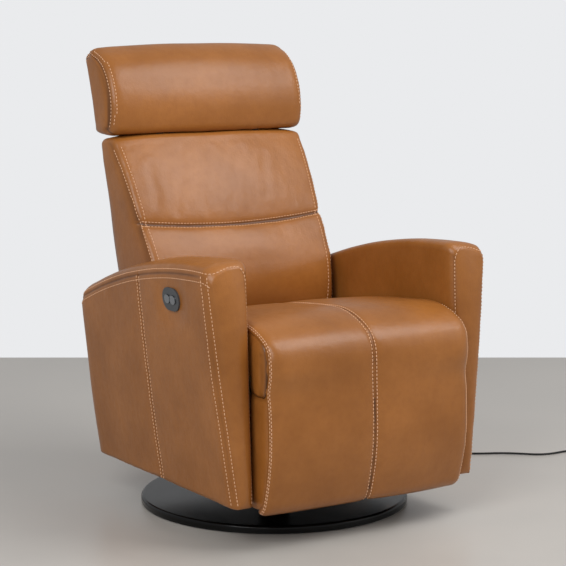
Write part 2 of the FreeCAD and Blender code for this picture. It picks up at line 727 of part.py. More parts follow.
def actuator_rod(drive):
    half_w = PIN_R + SLOT_PLAY
    outer_w = half_w + YOKE_WALL
    outer_h = drive.slot_half + YOKE_WALL
    half_t = YOKE_T / 2
    yoke = drive.block(half_t, drive.start - outer_w, drive.start + outer_w, -outer_h, outer_h)
    slot = drive.block(half_t, drive.start - half_w, drive.start + half_w, -drive.slot_half, drive.slot_half)
    tail = drive.tube_front - drive.stroke - ROD_KEPT
    shaft = rod(ROD_R, drive.at(tail), drive.at(drive.yoke_back))
    return yoke.cut(slot).fuse(shaft).removeSplitter()


def screw_tube(drive):
    tube = rod(SCREW_TUBE_R, drive.at(drive.tube_back), drive.at(drive.tube_front))
    return tube.cut(rod(ROD_R + RUN_CLEAR, drive.at(drive.tube_back), drive.at(drive.tube_front)))


def drive_motor(drive):
    back = drive.tube_back
    top = -SCREW_TUBE_R - MOTOR_LUG
    gearbox = drive.block(GEARBOX_W / 2, back - GEARBOX_L, back, top, top + GEARBOX_H)
    motor = rod(MOTOR_R, drive.at(back, MOTOR_DROP), drive.at(back + MOTOR_L, MOTOR_DROP))
    return gearbox.fuse(motor).removeSplitter()


def motor_bracket(drive):
    # A folded steel bracket from the hub plate up to both sides of the gearbox.
    rear = drive.tube_back - GEARBOX_L
    low = drive.at(rear + BRACKET_INSET, 0)
    high = drive.at(rear + BRACKET_INSET + BRACKET_HOLD, 0)
    half = GEARBOX_W / 2
    fore = low.y - BRACKET_FOOT_REAR
    aft = low.y + BRACKET_FOOT_FORE
    outline = [(fore, CHAIR_BOTTOM), (aft, CHAIR_BOTTOM), (low.y + BRACKET_EDGE, low.z + BRACKET_EDGE),
               (high.y - 2 * BRACKET_EDGE, high.z + BRACKET_EDGE)]
    right = side_plate(half, half + BRACKET_T, outline)
    left = right.mirror(V(0, 0, 0), AXIS_X)
    foot = box(-half - BRACKET_FOOT_FORE, half + BRACKET_FOOT_FORE, fore, aft, CHAIR_BOTTOM, CHAIR_BOTTOM + BRACKET_T)
    return right.fuse(left).fuse(foot).removeSplitter()


def power_supply():
    y0 = TUBE_REAR_Y - TUBE / 2 - SUPPLY_Y - SUPPLY_CLEAR
    x0 = -HUB_PLATE_X / 2 + SUPPLY_CLEAR
    case = box(x0, x0 + SUPPLY_X, y0, y0 + SUPPLY_Y, CHAIR_BOTTOM, CHAIR_BOTTOM + SUPPLY_Z)
    uprights = [e for e in case.Edges if e.BoundBox.ZLength > SUPPLY_Z - 1]
    return case.makeFillet(SUPPLY_CORNER_R, uprights)


def arm_section(share):
    # One slice across the arm, share 0 at the front and 1 at the rear, on a leaning plane.
    length = ARM_REAR_TOP_Y - ARM_FRONT_TOP_Y
    depth = min(share, 1 - share) * length
    draw = 0.0
    if depth < ARM_END_ROUND:
        part = 1 - depth / ARM_END_ROUND
        draw = 1 - math.sqrt(1 - part * part)
    crest = crest_height(share) - ARM_END_FALL * draw

    def place(x, z):
        climb = (z - CHAIR_BOTTOM) / (ARM_CREST_FRONT_Z - CHAIR_BOTTOM)
        front = ARM_FRONT_LOW_Y + (ARM_FRONT_TOP_Y - ARM_FRONT_LOW_Y) * climb
        rear = ARM_REAR_LOW_Y + (ARM_REAR_TOP_Y - ARM_REAR_LOW_Y) * climb
        return V(x, front + (rear - front) * share, z)

    def outer(z):
        climb = (z - CHAIR_BOTTOM) / (ARM_CREST_FRONT_Z - CHAIR_BOTTOM)
        return ARM_LOW_OUT + (ARM_TOP_OUT - ARM_LOW_OUT) * climb - ARM_END_SIDE * draw

    low = CHAIR_BOTTOM
    inner = ARM_IN + ARM_END_INNER * draw
    shoulder = crest - ARM_TOP_FALL - ARM_OUT_R * math.sin(ARM_OUT_TURN)
    rim = outer(shoulder)
    middle = (low + shoulder) / 2
    neck = crest - ARM_CROWN * 0.5 - ARM_IN_R

    def round_point(radius, turn, x, z, sense):
        return place(x + sense * radius * (1 - math.cos(turn)), z + radius * math.sin(turn))

    outer_end = round_point(ARM_OUT_R, ARM_OUT_TURN, rim, shoulder, -1)
    inner_end = round_point(ARM_IN_R, ARM_IN_TURN, inner, neck, 1)
    top = place((outer_end.x + inner_end.x) / 2, (outer_end.z + inner_end.z) / 2 + ARM_CROWN)
    points = [place(inner, low), place(outer(low), low),
              (place(outer(middle) + ARM_BULGE, middle), place(rim, shoulder)),
              (round_point(ARM_OUT_R, ARM_OUT_TURN / 2, rim, shoulder, -1), outer_end),
              (top, inner_end),
              (round_point(ARM_IN_R, ARM_IN_TURN / 2, inner, neck, 1), place(inner, neck)),
              place(inner, low)]
    return wire_through(points)


def crest_height(share):
    # The arm's top line: a parabola through its front, middle and rear heights.
    front = ARM_CREST_FRONT_Z
    middle = ARM_CREST_MID_Z
    rear = ARM_CREST_REAR_Z
    at_front = front * (share - ARM_MID) * (share - 1) / ARM_MID
    at_middle = middle * share * (share - 1) / (ARM_MID * (ARM_MID - 1))
    at_rear = rear * share * (share - ARM_MID) / (1 - ARM_MID)
    return at_front + at_middle + at_rear


def arm_board():
    return box(ARM_BOARD_IN, ARM_BOARD_IN + ARM_BOARD_T, ARM_BOARD_FRONT, ARM_BOARD_REAR,
               CHAIR_BOTTOM, ARM_BOARD_TOP)


def arm_bolts():
    # Each bolt passes a spacer collar between the side plate and the arm.
    bolts = []
    for y in ARM_BOLT_YS:
        for z in ARM_BOLT_ZS:
            head = rod(ARM_BOLT_HEAD_R, V(SIDE_IN - ARM_BOLT_HEAD_T, y, z), V(SIDE_IN, y, z))
            shank = rod(ARM_BOLT_R, V(SIDE_IN, y, z), V(ARM_BOARD_IN + ARM_BOLT_GRIP, y, z))
            collar = rod(COLLAR_R, V(SIDE_OUT, y, z), V(ARM_IN, y, z))
            bolts.append(head.fuse(shank).fuse(collar).removeSplitter())
    return Part.makeCompound(bolts)


def arm_pad(board, bolts):
    length = ARM_REAR_TOP_Y - ARM_FRONT_TOP_Y
    edge = ARM_END_ROUND / length
    shares = [0.0, edge * 0.12, edge * 0.45, edge]
    shares += [edge + (1 - 2 * edge) * index / 6 for index in range(1, 6)]
    shares += [1 - edge, 1 - edge * 0.45, 1 - edge * 0.12, 1.0]
    return loft([arm_section(share) for share in shares]).cut(board).cut(bolts)


def slope_normal():
    # Outward from the left arm's outer side, which leans in towards the floor.
    run = ARM_TOP_OUT - ARM_LOW_OUT
    rise = ARM_CREST_FRONT_Z - CHAIR_BOTTOM
    normal = V(-rise, 0, -run)
    normal.normalize()
    return normal


class Control:
    # The oval control, set square to the leaning side of the left arm.
    def __init__(self):
        climb = (CONTROL_Z - CHAIR_BOTTOM) / (ARM_CREST_FRONT_Z - CHAIR_BOTTOM)
        x = ARM_LOW_OUT + (ARM_TOP_OUT - ARM_LOW_OUT) * climb
        self.out = slope_normal()
        self.up = V(-self.out.z, 0, self.out.x) * -1
        self.centre = V(-x, CONTROL_Y, CONTROL_Z)

    def at(self, along, up, out):
        return self.centre + V(0, along, 0) + self.up * up + self.out * out

    def oval(self, length, height, out0, out1, shift=0.0):
        # A slot-shaped plug, longer along the taller side, from depth out0 to out1.
        round_r = min(length, height) / 2
        u = length / 2 - round_r
        w = height / 2 - round_r
        bend = round_r * math.sqrt(0.5)
        base = [self.at(shift + u + round_r, -w, out0), self.at(shift + u + round_r, w, out0),
                (self.at(shift + u + bend, w + bend, out0), self.at(shift + u, w + round_r, out0)),
                self.at(shift - u, w + round_r, out0),
                (self.at(shift - u - bend, w + bend, out0), self.at(shift - u - round_r, w, out0)),
                self.at(shift - u - round_r, -w, out0),
                (self.at(shift - u - bend, -w - bend, out0), self.at(shift - u, -w - round_r, out0)),
                self.at(shift + u, -w - round_r, out0),
                (self.at(shift + u + bend, -w - bend, out0), self.at(shift + u + round_r, -w, out0))]
        steps = [base[0]]
        for step in base[1:]:
            end = step[1] if isinstance(step, tuple) else step
            last = steps[-1][1] if isinstance(steps[-1], tuple) else steps[-1]
            if (end - last).Length > 0.001:
                steps.append(step)
        return Part.Face(wire_through(steps)).extrude(self.out * (out1 - out0))


def button_offset(index):
    return (index - 0.5) * BUTTON_PITCH


def button_shape(control, index):
    shift = button_offset(index)
    return control.oval(BUTTON_L, BUTTON_H, BEZEL_PROUD + BUTTON_PROUD - BUTTON_DEPTH,
                        BEZEL_PROUD + BUTTON_PROUD, shift)


def button_room(control, index):
    shift = button_offset(index)
    grow = 2 * BUTTON_CLEAR
    depth = BEZEL_PROUD + BUTTON_PROUD - BUTTON_DEPTH - BUTTON_STROKE - BUTTON_CLEAR
    return control.oval(BUTTON_L + grow, BUTTON_H + grow, depth, BEZEL_PROUD + BUTTON_PROUD, shift)


def control_bezel(control):
    bezel = control.oval(BEZEL_H, BEZEL_L, -BEZEL_IN, BEZEL_PROUD)
    for index in (0, 1):
        bezel = bezel.cut(button_room(control, index))
    return bezel


def switch_box(control):
    case = control.oval(SWITCH_H, SWITCH_L, -SWITCH_DEPTH, -BEZEL_IN)
    for index in (0, 1):
        case = case.cut(button_room(control, index))
        case = case.cut(dome(control, index))
    return case


def dome(control, index):
    top = BEZEL_PROUD + BUTTON_PROUD - BUTTON_DEPTH - BUTTON_STROKE - BUTTON_CLEAR
    start = control.at(button_offset(index), 0, top - DOME_T)
    return rod(DOME_R, start, control.at(button_offset(index), 0, top))


def back_half(z):
    share = (z - BACK_LOW_Z) / (BACK_TOP_Z - BACK_LOW_Z)
    return BACK_HALF_LOW + (BACK_HALF_TOP - BACK_HALF_LOW) * share


def back_section(across):
    # One slice of the whole back, across from -1 at the left side to 1 at the right.
    half = (BACK_HALF_LOW + BACK_HALF_TOP) / 2
    inset = edge_inset(across * half, half, BACK_SIDE_ROUND)
    fore = crown_at(across, 1.0, BACK_CROWN) - inset
    puff = crown_at(across, 1.0, BACK_PUFF)

    def place(y, z):
        return V(across * back_half(z), y, z)

    def arc(start, end, sag):
        middle, finish = bow(start, end, sag)
        return (place(middle.y, middle.z), finish)

    low = BACK_LOW_Z
    top = BACK_TOP_Z - inset
    rear_low = place(BACK_REAR_LOW_Y - inset, low)
    rear_top = place(BACK_REAR_TOP_Y - 1 - inset, top - BACK_REAR_ROUND)
    rear_edge = place(BACK_REAR_TOP_Y - BACK_REAR_ROUND - inset, top)
    top_edge = place(BACK_TOP_Y + BACK_EDGE_R - fore, top)
    front_top = place(BACK_TOP_Y - fore, top - BACK_TOP_ROUND)
    seam = place(BACK_SEAM_Y + BACK_SEAM_DIP - fore, BACK_SEAM_Z)
    knee = place(BACK_KNEE_Y - fore, BACK_KNEE_Z)
    front_low = place(BACK_LOW_Y + inset, low + BACK_EDGE_R)
    low_edge = place(BACK_LOW_Y + BACK_EDGE_R + inset, low)
    points = [rear_low, rear_top, arc(rear_top, rear_edge, BACK_REAR_BOW), top_edge,
              arc(top_edge, front_top, BACK_TOP_BOW), arc(front_top, seam, BACK_UP_BOW + puff),
              arc(seam, knee, BACK_MID_BOW + puff), arc(knee, front_low, BACK_LOW_BOW + fore * 0.45),
              arc(front_low, low_edge, BACK_EDGE_BOW), rear_low]
    return wire_through(points)


def back_form():
    half = (BACK_HALF_LOW + BACK_HALF_TOP) / 2
    return loft([back_section(x / half) for x in stations(half, BACK_SIDE_ROUND)])


def frame_point(z, depth=0.0, x=0.0):
    # A point on the back frame's middle plane at height z, moved forward by depth.
    y = BACK_PIVOT_Y + (z - BACK_PIVOT_Z) * math.tan(FRAME_LEAN)
    point = V(0, y, z) + BACK_FORE * depth
    return V(x, point.y, point.z)


def leaning_bar(x0, x1, z0, z1, depth):
    # A bar lying in the back frame's plane, from height z0 to z1, depth thick.
    corners = [frame_point(z0, -depth / 2, x0), frame_point(z1, -depth / 2, x0),
               frame_point(z1, depth / 2, x0), frame_point(z0, depth / 2, x0)]
    face = Part.Face(Part.makePolygon(corners + [corners[0]]))
    return face.extrude(V(x1 - x0, 0, 0))


def back_plate_in():
    return SIDE_IN - BACK_PLATE_GAP - BACK_PLATE_T


def post_line(reach=0.0):
    # The headrest post's lowest and highest points on the left, widened by reach.
    top = frame_point(HEAD_PIVOT_Z)
    low = top - BACK_UP * (POST_ROD_L + reach)
    return low, top


def back_frame():
    outer = back_plate_in()
    inner = outer - UPRIGHT_T
    frame = leaning_bar(inner, outer, UPRIGHT_LOW, UPRIGHT_TOP, UPRIGHT_D)
    frame = frame.fuse(leaning_bar(-outer, -inner, UPRIGHT_LOW, UPRIGHT_TOP, UPRIGHT_D))
    for z in (CROSS_LOW_Z, CROSS_MID_Z, CROSS_TOP_Z):
        frame = frame.fuse(leaning_bar(-inner, inner, z - CROSS_H / 2, z + CROSS_H / 2, CROSS_D))
    for side in (-1, 1):
        frame = frame.cut(guide_solid(side, False))
    return frame.removeSplitter()


def guide_ends():
    low = frame_point(CROSS_TOP_Z - CROSS_H / 2 - GUIDE_TAIL)
    return low, frame_point(CROSS_TOP_Z + CROSS_H / 2)


def guide_solid(side, bored=True):
    low, high = guide_ends()
    shift = V(side * POST_ROD_X, 0, 0)
    sleeve = rod(GUIDE_R, low + shift, high + shift)
    if bored:
        sleeve = sleeve.cut(rod(POST_ROD_R + RUN_CLEAR, low + shift, high + shift))
    return sleeve


def post_guides():
    return Part.makeCompound([guide_solid(side) for side in (-1, 1)])


def back_webbing():
    # Straps over the front faces of the uprights.
    outer = back_plate_in()
    straps = []
    for index in range(BACK_WEB_COUNT):
        z = BACK_WEB_FIRST + BACK_WEB_PITCH * index
        lift = BACK_FORE * ((UPRIGHT_D + WEB_T) / 2)
        strap = leaning_bar(-outer, outer, z - WEB_W / 2, z + WEB_W / 2, WEB_T)
        strap.translate(lift)
        straps.append(strap)
    return Part.makeCompound(straps)


def back_plate():
    # From the pivot eye up the outside of the upright.
    x0 = back_plate_in()
    x1 = x0 + BACK_PLATE_T
    py = BACK_PIVOT_Y
    pz = BACK_PIVOT_Z
    half = BACK_PLATE_W / 2
    low = frame_point(pz, 0)
    top_front = frame_point(BACK_PLATE_TOP, half)
    top_rear = frame_point(BACK_PLATE_TOP, -half)
    side = BACK_FORE * half
    under = V(0, py, pz) - BACK_UP * half
    outline = [(py - side.y, pz - side.z), (top_rear.y, top_rear.z), (top_front.y, top_front.z),
               (low.y + side.y, low.z + side.z), (under.y, under.z, py - side.y, pz - side.z)]
    plate = side_plate(x0, x1, outline)
    return plate.cut(rod(PIN_R + RUN_CLEAR, V(x0, py, pz), V(x1, py, pz)))


def back_pin():
    x1 = back_plate_in() - GAP
    x0 = x1 - PIN_END
    head = rod(PIN_HEAD_R, V(x0, BACK_PIVOT_Y, BACK_PIVOT_Z), V(x1, BACK_PIVOT_Y, BACK_PIVOT_Z))
    shank = rod(PIN_R, V(x0, BACK_PIVOT_Y, BACK_PIVOT_Z), V(SIDE_OUT + PIN_END, BACK_PIVOT_Y, BACK_PIVOT_Z))
    return head.fuse(shank).removeSplitter()


def plate_room():
    # Where the foam is cut away round the back plate, out to the side.
    x0 = back_plate_in()
    room = BACK_HALF_TOP - x0
    half = BACK_PLATE_W / 2
    low = BACK_PIVOT_Z - BACK_PLATE_W
    corners = [frame_point(low, -half, x0), frame_point(BACK_PLATE_TOP, -half, x0),
               frame_point(BACK_PLATE_TOP, half, x0), frame_point(low, half, x0)]
    right = Part.Face(Part.makePolygon(corners + [corners[0]])).extrude(V(room, 0, 0))
    return right.fuse(right.mirror(V(0, 0, 0), AXIS_X))


def back_split(front):
    # A block past the whole form on one side of the back frame's middle plane.
    reach = BACK_TOP_Z - BACK_LOW_Z
    depth = reach if front else -reach
    low = BACK_LOW_Z - reach / 4
    high = BACK_TOP_Z + reach / 4
    half = BACK_HALF_TOP + BACK_SIDE_ROUND
    corners = [frame_point(low, 0, -half), frame_point(high, 0, -half),
               frame_point(high, depth, -half), frame_point(low, depth, -half)]
    return Part.Face(Part.makePolygon(corners + [corners[0]])).extrude(V(2 * half, 0, 0))


def back_hardware_room(frame, webbing, guides):
    room = frame.fuse(plate_room())
    for strap in webbing.Solids:
        room = room.fuse(strap)
    for side in (-1, 1):
        low, top = post_line(POCKET_CLEAR * 2)
        shift = V(side * POST_ROD_X, 0, 0)
        room = room.fuse(rod(POST_ROD_R + POCKET_CLEAR, low + shift, top + shift))
        room = room.fuse(guide_solid(side, False))
    return room


def headrest_section(x):
    inset = edge_inset(x, HEAD_HALF, HEAD_SIDE_ROUND)
    fore = crown_at(x, HEAD_HALF, HEAD_CROWN) - inset
    low = HEAD_BOTTOM_Z + inset * 0.4
    top = HEAD_TOP_Z - inset + crown_at(x, HEAD_HALF, HEAD_TOP_CROWN)
    front = HEAD_FRONT_Y + HEAD_CROWN - fore
    lip = HEAD_LIP_Y - inset
    rear_low = V(x, HEAD_REAR_LOW_Y - inset, low)
    rear_top = V(x, lip - HEAD_LIP_R * 1.2, HEAD_LIP_Z - HEAD_LIP_DROP * 1.3)
    lip_under = V(x, lip - HEAD_LIP_R * 0.6, HEAD_LIP_Z - HEAD_LIP_DROP)
    lip_over = V(x, lip - HEAD_LIP_R, top - HEAD_TOP_BOW)
    brow = V(x, front + HEAD_TOP_RUN, top - HEAD_TOP_BOW * 0.6)
    upper = V(x, front + HEAD_UP_Y, HEAD_FRONT_Z + HEAD_UP_Z)
    lower = V(x, front, low + HEAD_LOW_RISE)
    low_edge = V(x, front + HEAD_LOW_RUN, low)
    points = [rear_low, rear_top, lip_under, bow(lip_under, lip_over, HEAD_LIP_BOW),
              bow(lip_over, brow, HEAD_TOP_BOW), bow(brow, upper, HEAD_BROW_BOW),
              bow(upper, lower, HEAD_FRONT_BOW), bow(lower, low_edge, HEAD_LOW_BOW), rear_low]
    return wire_through(points)


def headrest_plate():
    y0 = HEAD_PIVOT_Y - KNUCKLE_R
    plate = box(-HEAD_PLATE_HALF, HEAD_PLATE_HALF, y0, y0 + HEAD_PLATE_D, HEAD_BOTTOM_Z, HEAD_BOTTOM_Z + HEAD_PLATE_T)
    for side in (-1, 1):
        for centre in knuckle_centres(side):
            x0 = centre - KNUCKLE_W / 2
            knuckle = rod(KNUCKLE_R, V(x0, HEAD_PIVOT_Y, HEAD_PIVOT_Z), V(x0 + KNUCKLE_W, HEAD_PIVOT_Y, HEAD_PIVOT_Z))
            web = box(x0, x0 + KNUCKLE_W, y0, y0 + 2 * KNUCKLE_R, HEAD_PIVOT_Z, HEAD_BOTTOM_Z)
            plate = plate.fuse(knuckle).fuse(web)
        plate = plate.cut(head_pin_solid(side, RUN_CLEAR))
    return plate.removeSplitter()


def knuckle_centres(side):
    # One knuckle on each side of the post's block.
    step = BLOCK_W / 2 + KNUCKLE_W / 2 + GAP
    return (side * POST_ROD_X - step, side * POST_ROD_X + step)


def head_pin_solid(side, grow=0.0):
    half = BLOCK_W / 2 + KNUCKLE_W + GAP + 1
    middle = side * POST_ROD_X
    return rod(HEAD_PIN_R + grow, V(middle - half, HEAD_PIVOT_Y, HEAD_PIVOT_Z),
               V(middle + half, HEAD_PIVOT_Y, HEAD_PIVOT_Z))


def head_pins():
    return Part.makeCompound([head_pin_solid(side) for side in (-1, 1)])


def headrest_post(side):
    low, top = post_line()
    shift = V(side * POST_ROD_X, 0, 0)
    post = rod(POST_ROD_R, low + shift, top + shift)
    x0 = side * POST_ROD_X - BLOCK_W / 2
    y1 = top.y + POST_ROD_R + 2
    block = box(x0, x0 + BLOCK_W, HEAD_PIVOT_Y, y1, HEAD_PIVOT_Z - KNUCKLE_R, HEAD_PIVOT_Z + KNUCKLE_R)
    nose = rod(KNUCKLE_R, V(x0, HEAD_PIVOT_Y, HEAD_PIVOT_Z), V(x0 + BLOCK_W, HEAD_PIVOT_Y, HEAD_PIVOT_Z))
    return post.fuse(block).fuse(nose).cut(head_pin_solid(side)).removeSplitter()


def headrest_cushion(plate):
    form = loft([headrest_section(x) for x in stations(HEAD_HALF, HEAD_SIDE_ROUND)])
    return form.cut(plate)


# The lead's route from the strain relief to its coil, as points in order.
LEAD_ROUTE = [(286, 239, 35), (322, 255, 26), (356, 270, 12), (397, 282, 2.9), (443, 277, 2.9),
              (486, 258, 2.9), (527, 229, 2.9), (571, 203, 2.9), (617, 172, 2.9), (657, 130, 2.9),
              (703, 96, 2.9), (750, 72, 3.6), (790, 40, 3.6), (826, 6, 2.9), (868, -6, 2.9),
              (912, -1, 2.9), (951, -11, 2.9), (986, -29, 2.9)]


def turned(x, y, degrees):
    angle = math.radians(degrees)
    return V(x * math.cos(angle) - y * math.sin(angle), x * math.sin(angle) + y * math.cos(angle), 0)


def inlet_point(along, z):
    return V(INLET_X, INLET_Y, z) + turned(along, 0, INLET_TURN)


def lead_exit():
    return inlet_point(INLET_L / 2 + RELIEF_L, DISC_TOP + INLET_H / 2)


def inlet_box():
    case = Part.makeBox(INLET_L, INLET_W, INLET_H, V(-INLET_L / 2, -INLET_W / 2, 0))
    uprights = [e for e in case.Edges if e.BoundBox.ZLength > INLET_H - 1]
    case = case.makeFillet(INLET_CORNER_R, uprights)
    case.rotate(V(0, 0, 0), AXIS_Z, INLET_TURN)
    case.translate(V(INLET_X, INLET_Y, DISC_TOP))
    return case


def strain_relief():
    start = inlet_point(INLET_L / 2, DISC_TOP + INLET_H / 2)
    line = lead_exit() - start
    return Part.makeCone(RELIEF_R0, CORD_R, RELIEF_L, start, line)


def route_points():
    return [lead_exit()] + [V(x, y, z) for x, y, z in LEAD_ROUTE]


def coil_entry():
    return V(*LEAD_ROUTE[-1])


def entry_direction():
    step = coil_entry() - V(*LEAD_ROUTE[-2])
    step.normalize()
    return step


def rounded_path(points):
    # Straight runs joined by tangent arcs, each as large as its two runs allow.
    edges = []
    radii = []
    here = points[0]
    for index in range(1, len(points) - 1):
        before = points[index - 1] - points[index]
        after = points[index + 1] - points[index]
        run = min(before.Length, after.Length)
        before.normalize()
        after.normalize()
        half_turn = (math.pi - before.getAngle(after)) / 2
        setback = 0.45 * run
        radius = setback / math.tan(half_turn)
        radii.append(radius)
        first = points[index] + before * setback
        last = points[index] + after * setback
        inward = before + after
        inward.normalize()
        centre = points[index] + inward * (radius / math.cos(half_turn))
        middle = centre - inward * radius
        edges.append(Part.LineSegment(here, first).toShape())
        edges.append(Part.Arc(first, middle, last).toShape())
        here = last
    edges.append(Part.LineSegment(here, points[-1]).toShape())
    return Part.Wire(edges), radii


def swept(path, start, direction):
    circle = Part.Wire(Part.Circle(start, direction, CORD_R).toShape())
    shell = Part.BRepOffsetAPI.MakePipeShell(path)
    shell.add(circle)
    shell.build()
    shell.makeSolid()
    return shell.shape()


def power_lead():
    points = route_points()
    path, radii = rounded_path(points)
    solid = swept(path, points[0], points[1] - points[0])
    expected = math.pi * CORD_R ** 2 * path.Length
    print("lead: length %.0f, radii %s" % (path.Length, " ".join("%.0f" % r for r in radii)))
    print("lead: volume over section times length %.4f" % (solid.Volume / expected))
    return solid


class Coil:
    # Two clockwise layers: in over the bottom one, a climb in half a turn, and out over the top.
    def __init__(self):
        self.pitch = 2 * CORD_R + COIL_GAP
        self.outer = COIL_MID_R + self.pitch * COIL_TURNS / 2
        self.entry = coil_entry()
        self.heading = entry_direction()
        start = self.entry + self.heading * (2 * CORD_R)
        side = V(self.heading.y, -self.heading.x, 0)
        self.centre = start + side * self.outer
        self.first_angle = math.atan2(-side.y, -side.x)
        self.total = 2 * COIL_TURNS + 0.5

    def shape_at(self, turn):
        # Radius and height, with their rates per turn.
        if turn <= COIL_TURNS:
            return self.outer - self.pitch * turn, 0.0, -self.pitch, 0.0
        inner = self.outer - self.pitch * COIL_TURNS
        rise = turn - COIL_TURNS
        if rise < 0.5:
            swing = 2 * math.pi * rise
            height = self.pitch * (1 - math.cos(swing)) / 2
            rate = self.pitch * math.pi * math.sin(swing)
            wave = self.pitch / (2 * math.pi)
            return inner - wave * math.sin(swing) , height, -self.pitch * math.cos(swing), rate
        return inner + self.pitch * (rise - 0.5), self.pitch, self.pitch, 0.0

    def point(self, turn):
        radius, height, _, _ = self.shape_at(turn)
        angle = self.first_angle - 2 * math.pi * turn
        return V(self.centre.x + radius * math.cos(angle), self.centre.y + radius * math.sin(angle),
                 self.entry.z + height)

    def tangent(self, turn):
        radius, _, grow, climb = self.shape_at(turn)
        angle = self.first_angle - 2 * math.pi * turn
        around = -2 * math.pi * radius
        step = V(grow * math.cos(angle) - around * math.sin(angle),
                 grow * math.sin(angle) + around * math.cos(angle), climb)
        step.normalize()
        return step

    def exit_point(self):
        return self.point(self.total) + self.tangent(self.total) * COIL_TAIL

    def least_gap(self):
        # The smallest clear space between turns that are not neighbours along the wire.
        per_turn = 48
        count = int(self.total * per_turn)
        points = [self.point(self.total * index / count) for index in range(count + 1)]
        least = 1e9
        for index, point in enumerate(points):
            for other in points[index + per_turn // 2:]:
                least = min(least, (point - other).Length)
        return least - 2 * CORD_R


def biarc(p0, t0, p1, t1):
    # Two arcs that leave p0 along t0 and reach p1 along t1.
    chord = p1 - p0
    both = t0 + t1
    a = 2 * (t0.dot(t1) - 1)
    b = -2 * chord.dot(both)
    c = chord.dot(chord)
    if abs(a) < 1e-9:
        d = -c / b
    else:
        d = (-b - math.sqrt(b * b - 4 * a * c)) / (2 * a)
    q0 = p0 + t0 * d
    q1 = p1 - t1 * d
    joint = (q0 + q1) * 0.5
    return [tangent_arc(p0, q0, joint), tangent_arc(joint, q1, p1)]


def tangent_arc(start, corner, end):
    half = (end - start) * 0.5
    middle = start + half
    reach = corner - middle
    angle = math.atan2(reach.Length, half.Length)
    reach.normalize()
    return Part.Arc(start, middle + reach * (half.Length * math.tan(angle / 2)), end).toShape()


def coiled_lead(coil):
    steps = int(round(coil.total * 4))
    edges = [Part.LineSegment(coil.entry, coil.entry + coil.heading * (2 * CORD_R)).toShape()]
    here = coil.entry + coil.heading * (2 * CORD_R)
    aim = coil.heading
    for index in range(1, steps + 1):
        turn = coil.total * index / steps
        edges += biarc(here, aim, coil.point(turn), coil.tangent(turn))
        here = coil.point(turn)
        aim = coil.tangent(turn)
    edges.append(Part.LineSegment(here, coil.exit_point()).toShape())
    path = Part.Wire(edges)
    solid = swept(path, coil.entry, coil.heading)
    expected = math.pi * CORD_R ** 2 * path.Length
    print("coil: length %.0f, least gap %.2f" % (path.Length, coil.least_gap()))
    print("coil: volume over section times length %.4f" % (solid.Volume / expected))
    return solid


def power_plug(coil):
    start = coil.exit_point()
    aim = coil.tangent(coil.total)
    angle = math.degrees(math.atan2(aim.y, aim.x))
    low = GAP - start.z
    body = Part.makeBox(PLUG_L, PLUG_W, PLUG_H, V(PLUG_NECK_L, -PLUG_W / 2, low))
    edges = [e for e in body.Edges if e.BoundBox.XLength > PLUG_L - 1]
    body = body.makeFillet(PLUG_EDGE_R, edges)
    neck = Part.makeCone(CORD_R, PLUG_NECK_R, PLUG_NECK_L, V(0, 0, 0), AXIS_X)
    plug = body.fuse(neck)
    for side in (-1, 1):
        y = side * PRONG_PITCH / 2
        prong = Part.makeBox(PRONG_L, PRONG_T, PRONG_W, V(PLUG_NECK_L + PLUG_L, y - PRONG_T / 2, -PRONG_W / 2))
        plug = plug.fuse(prong)
    plug.rotate(V(0, 0, 0), AXIS_Z, angle)
    plug.translate(start)
    return plug.removeSplitter()


def save_pair(name, shapes):
    save("left_" + name, shapes[0])
    save("right_" + name, shapes[1])


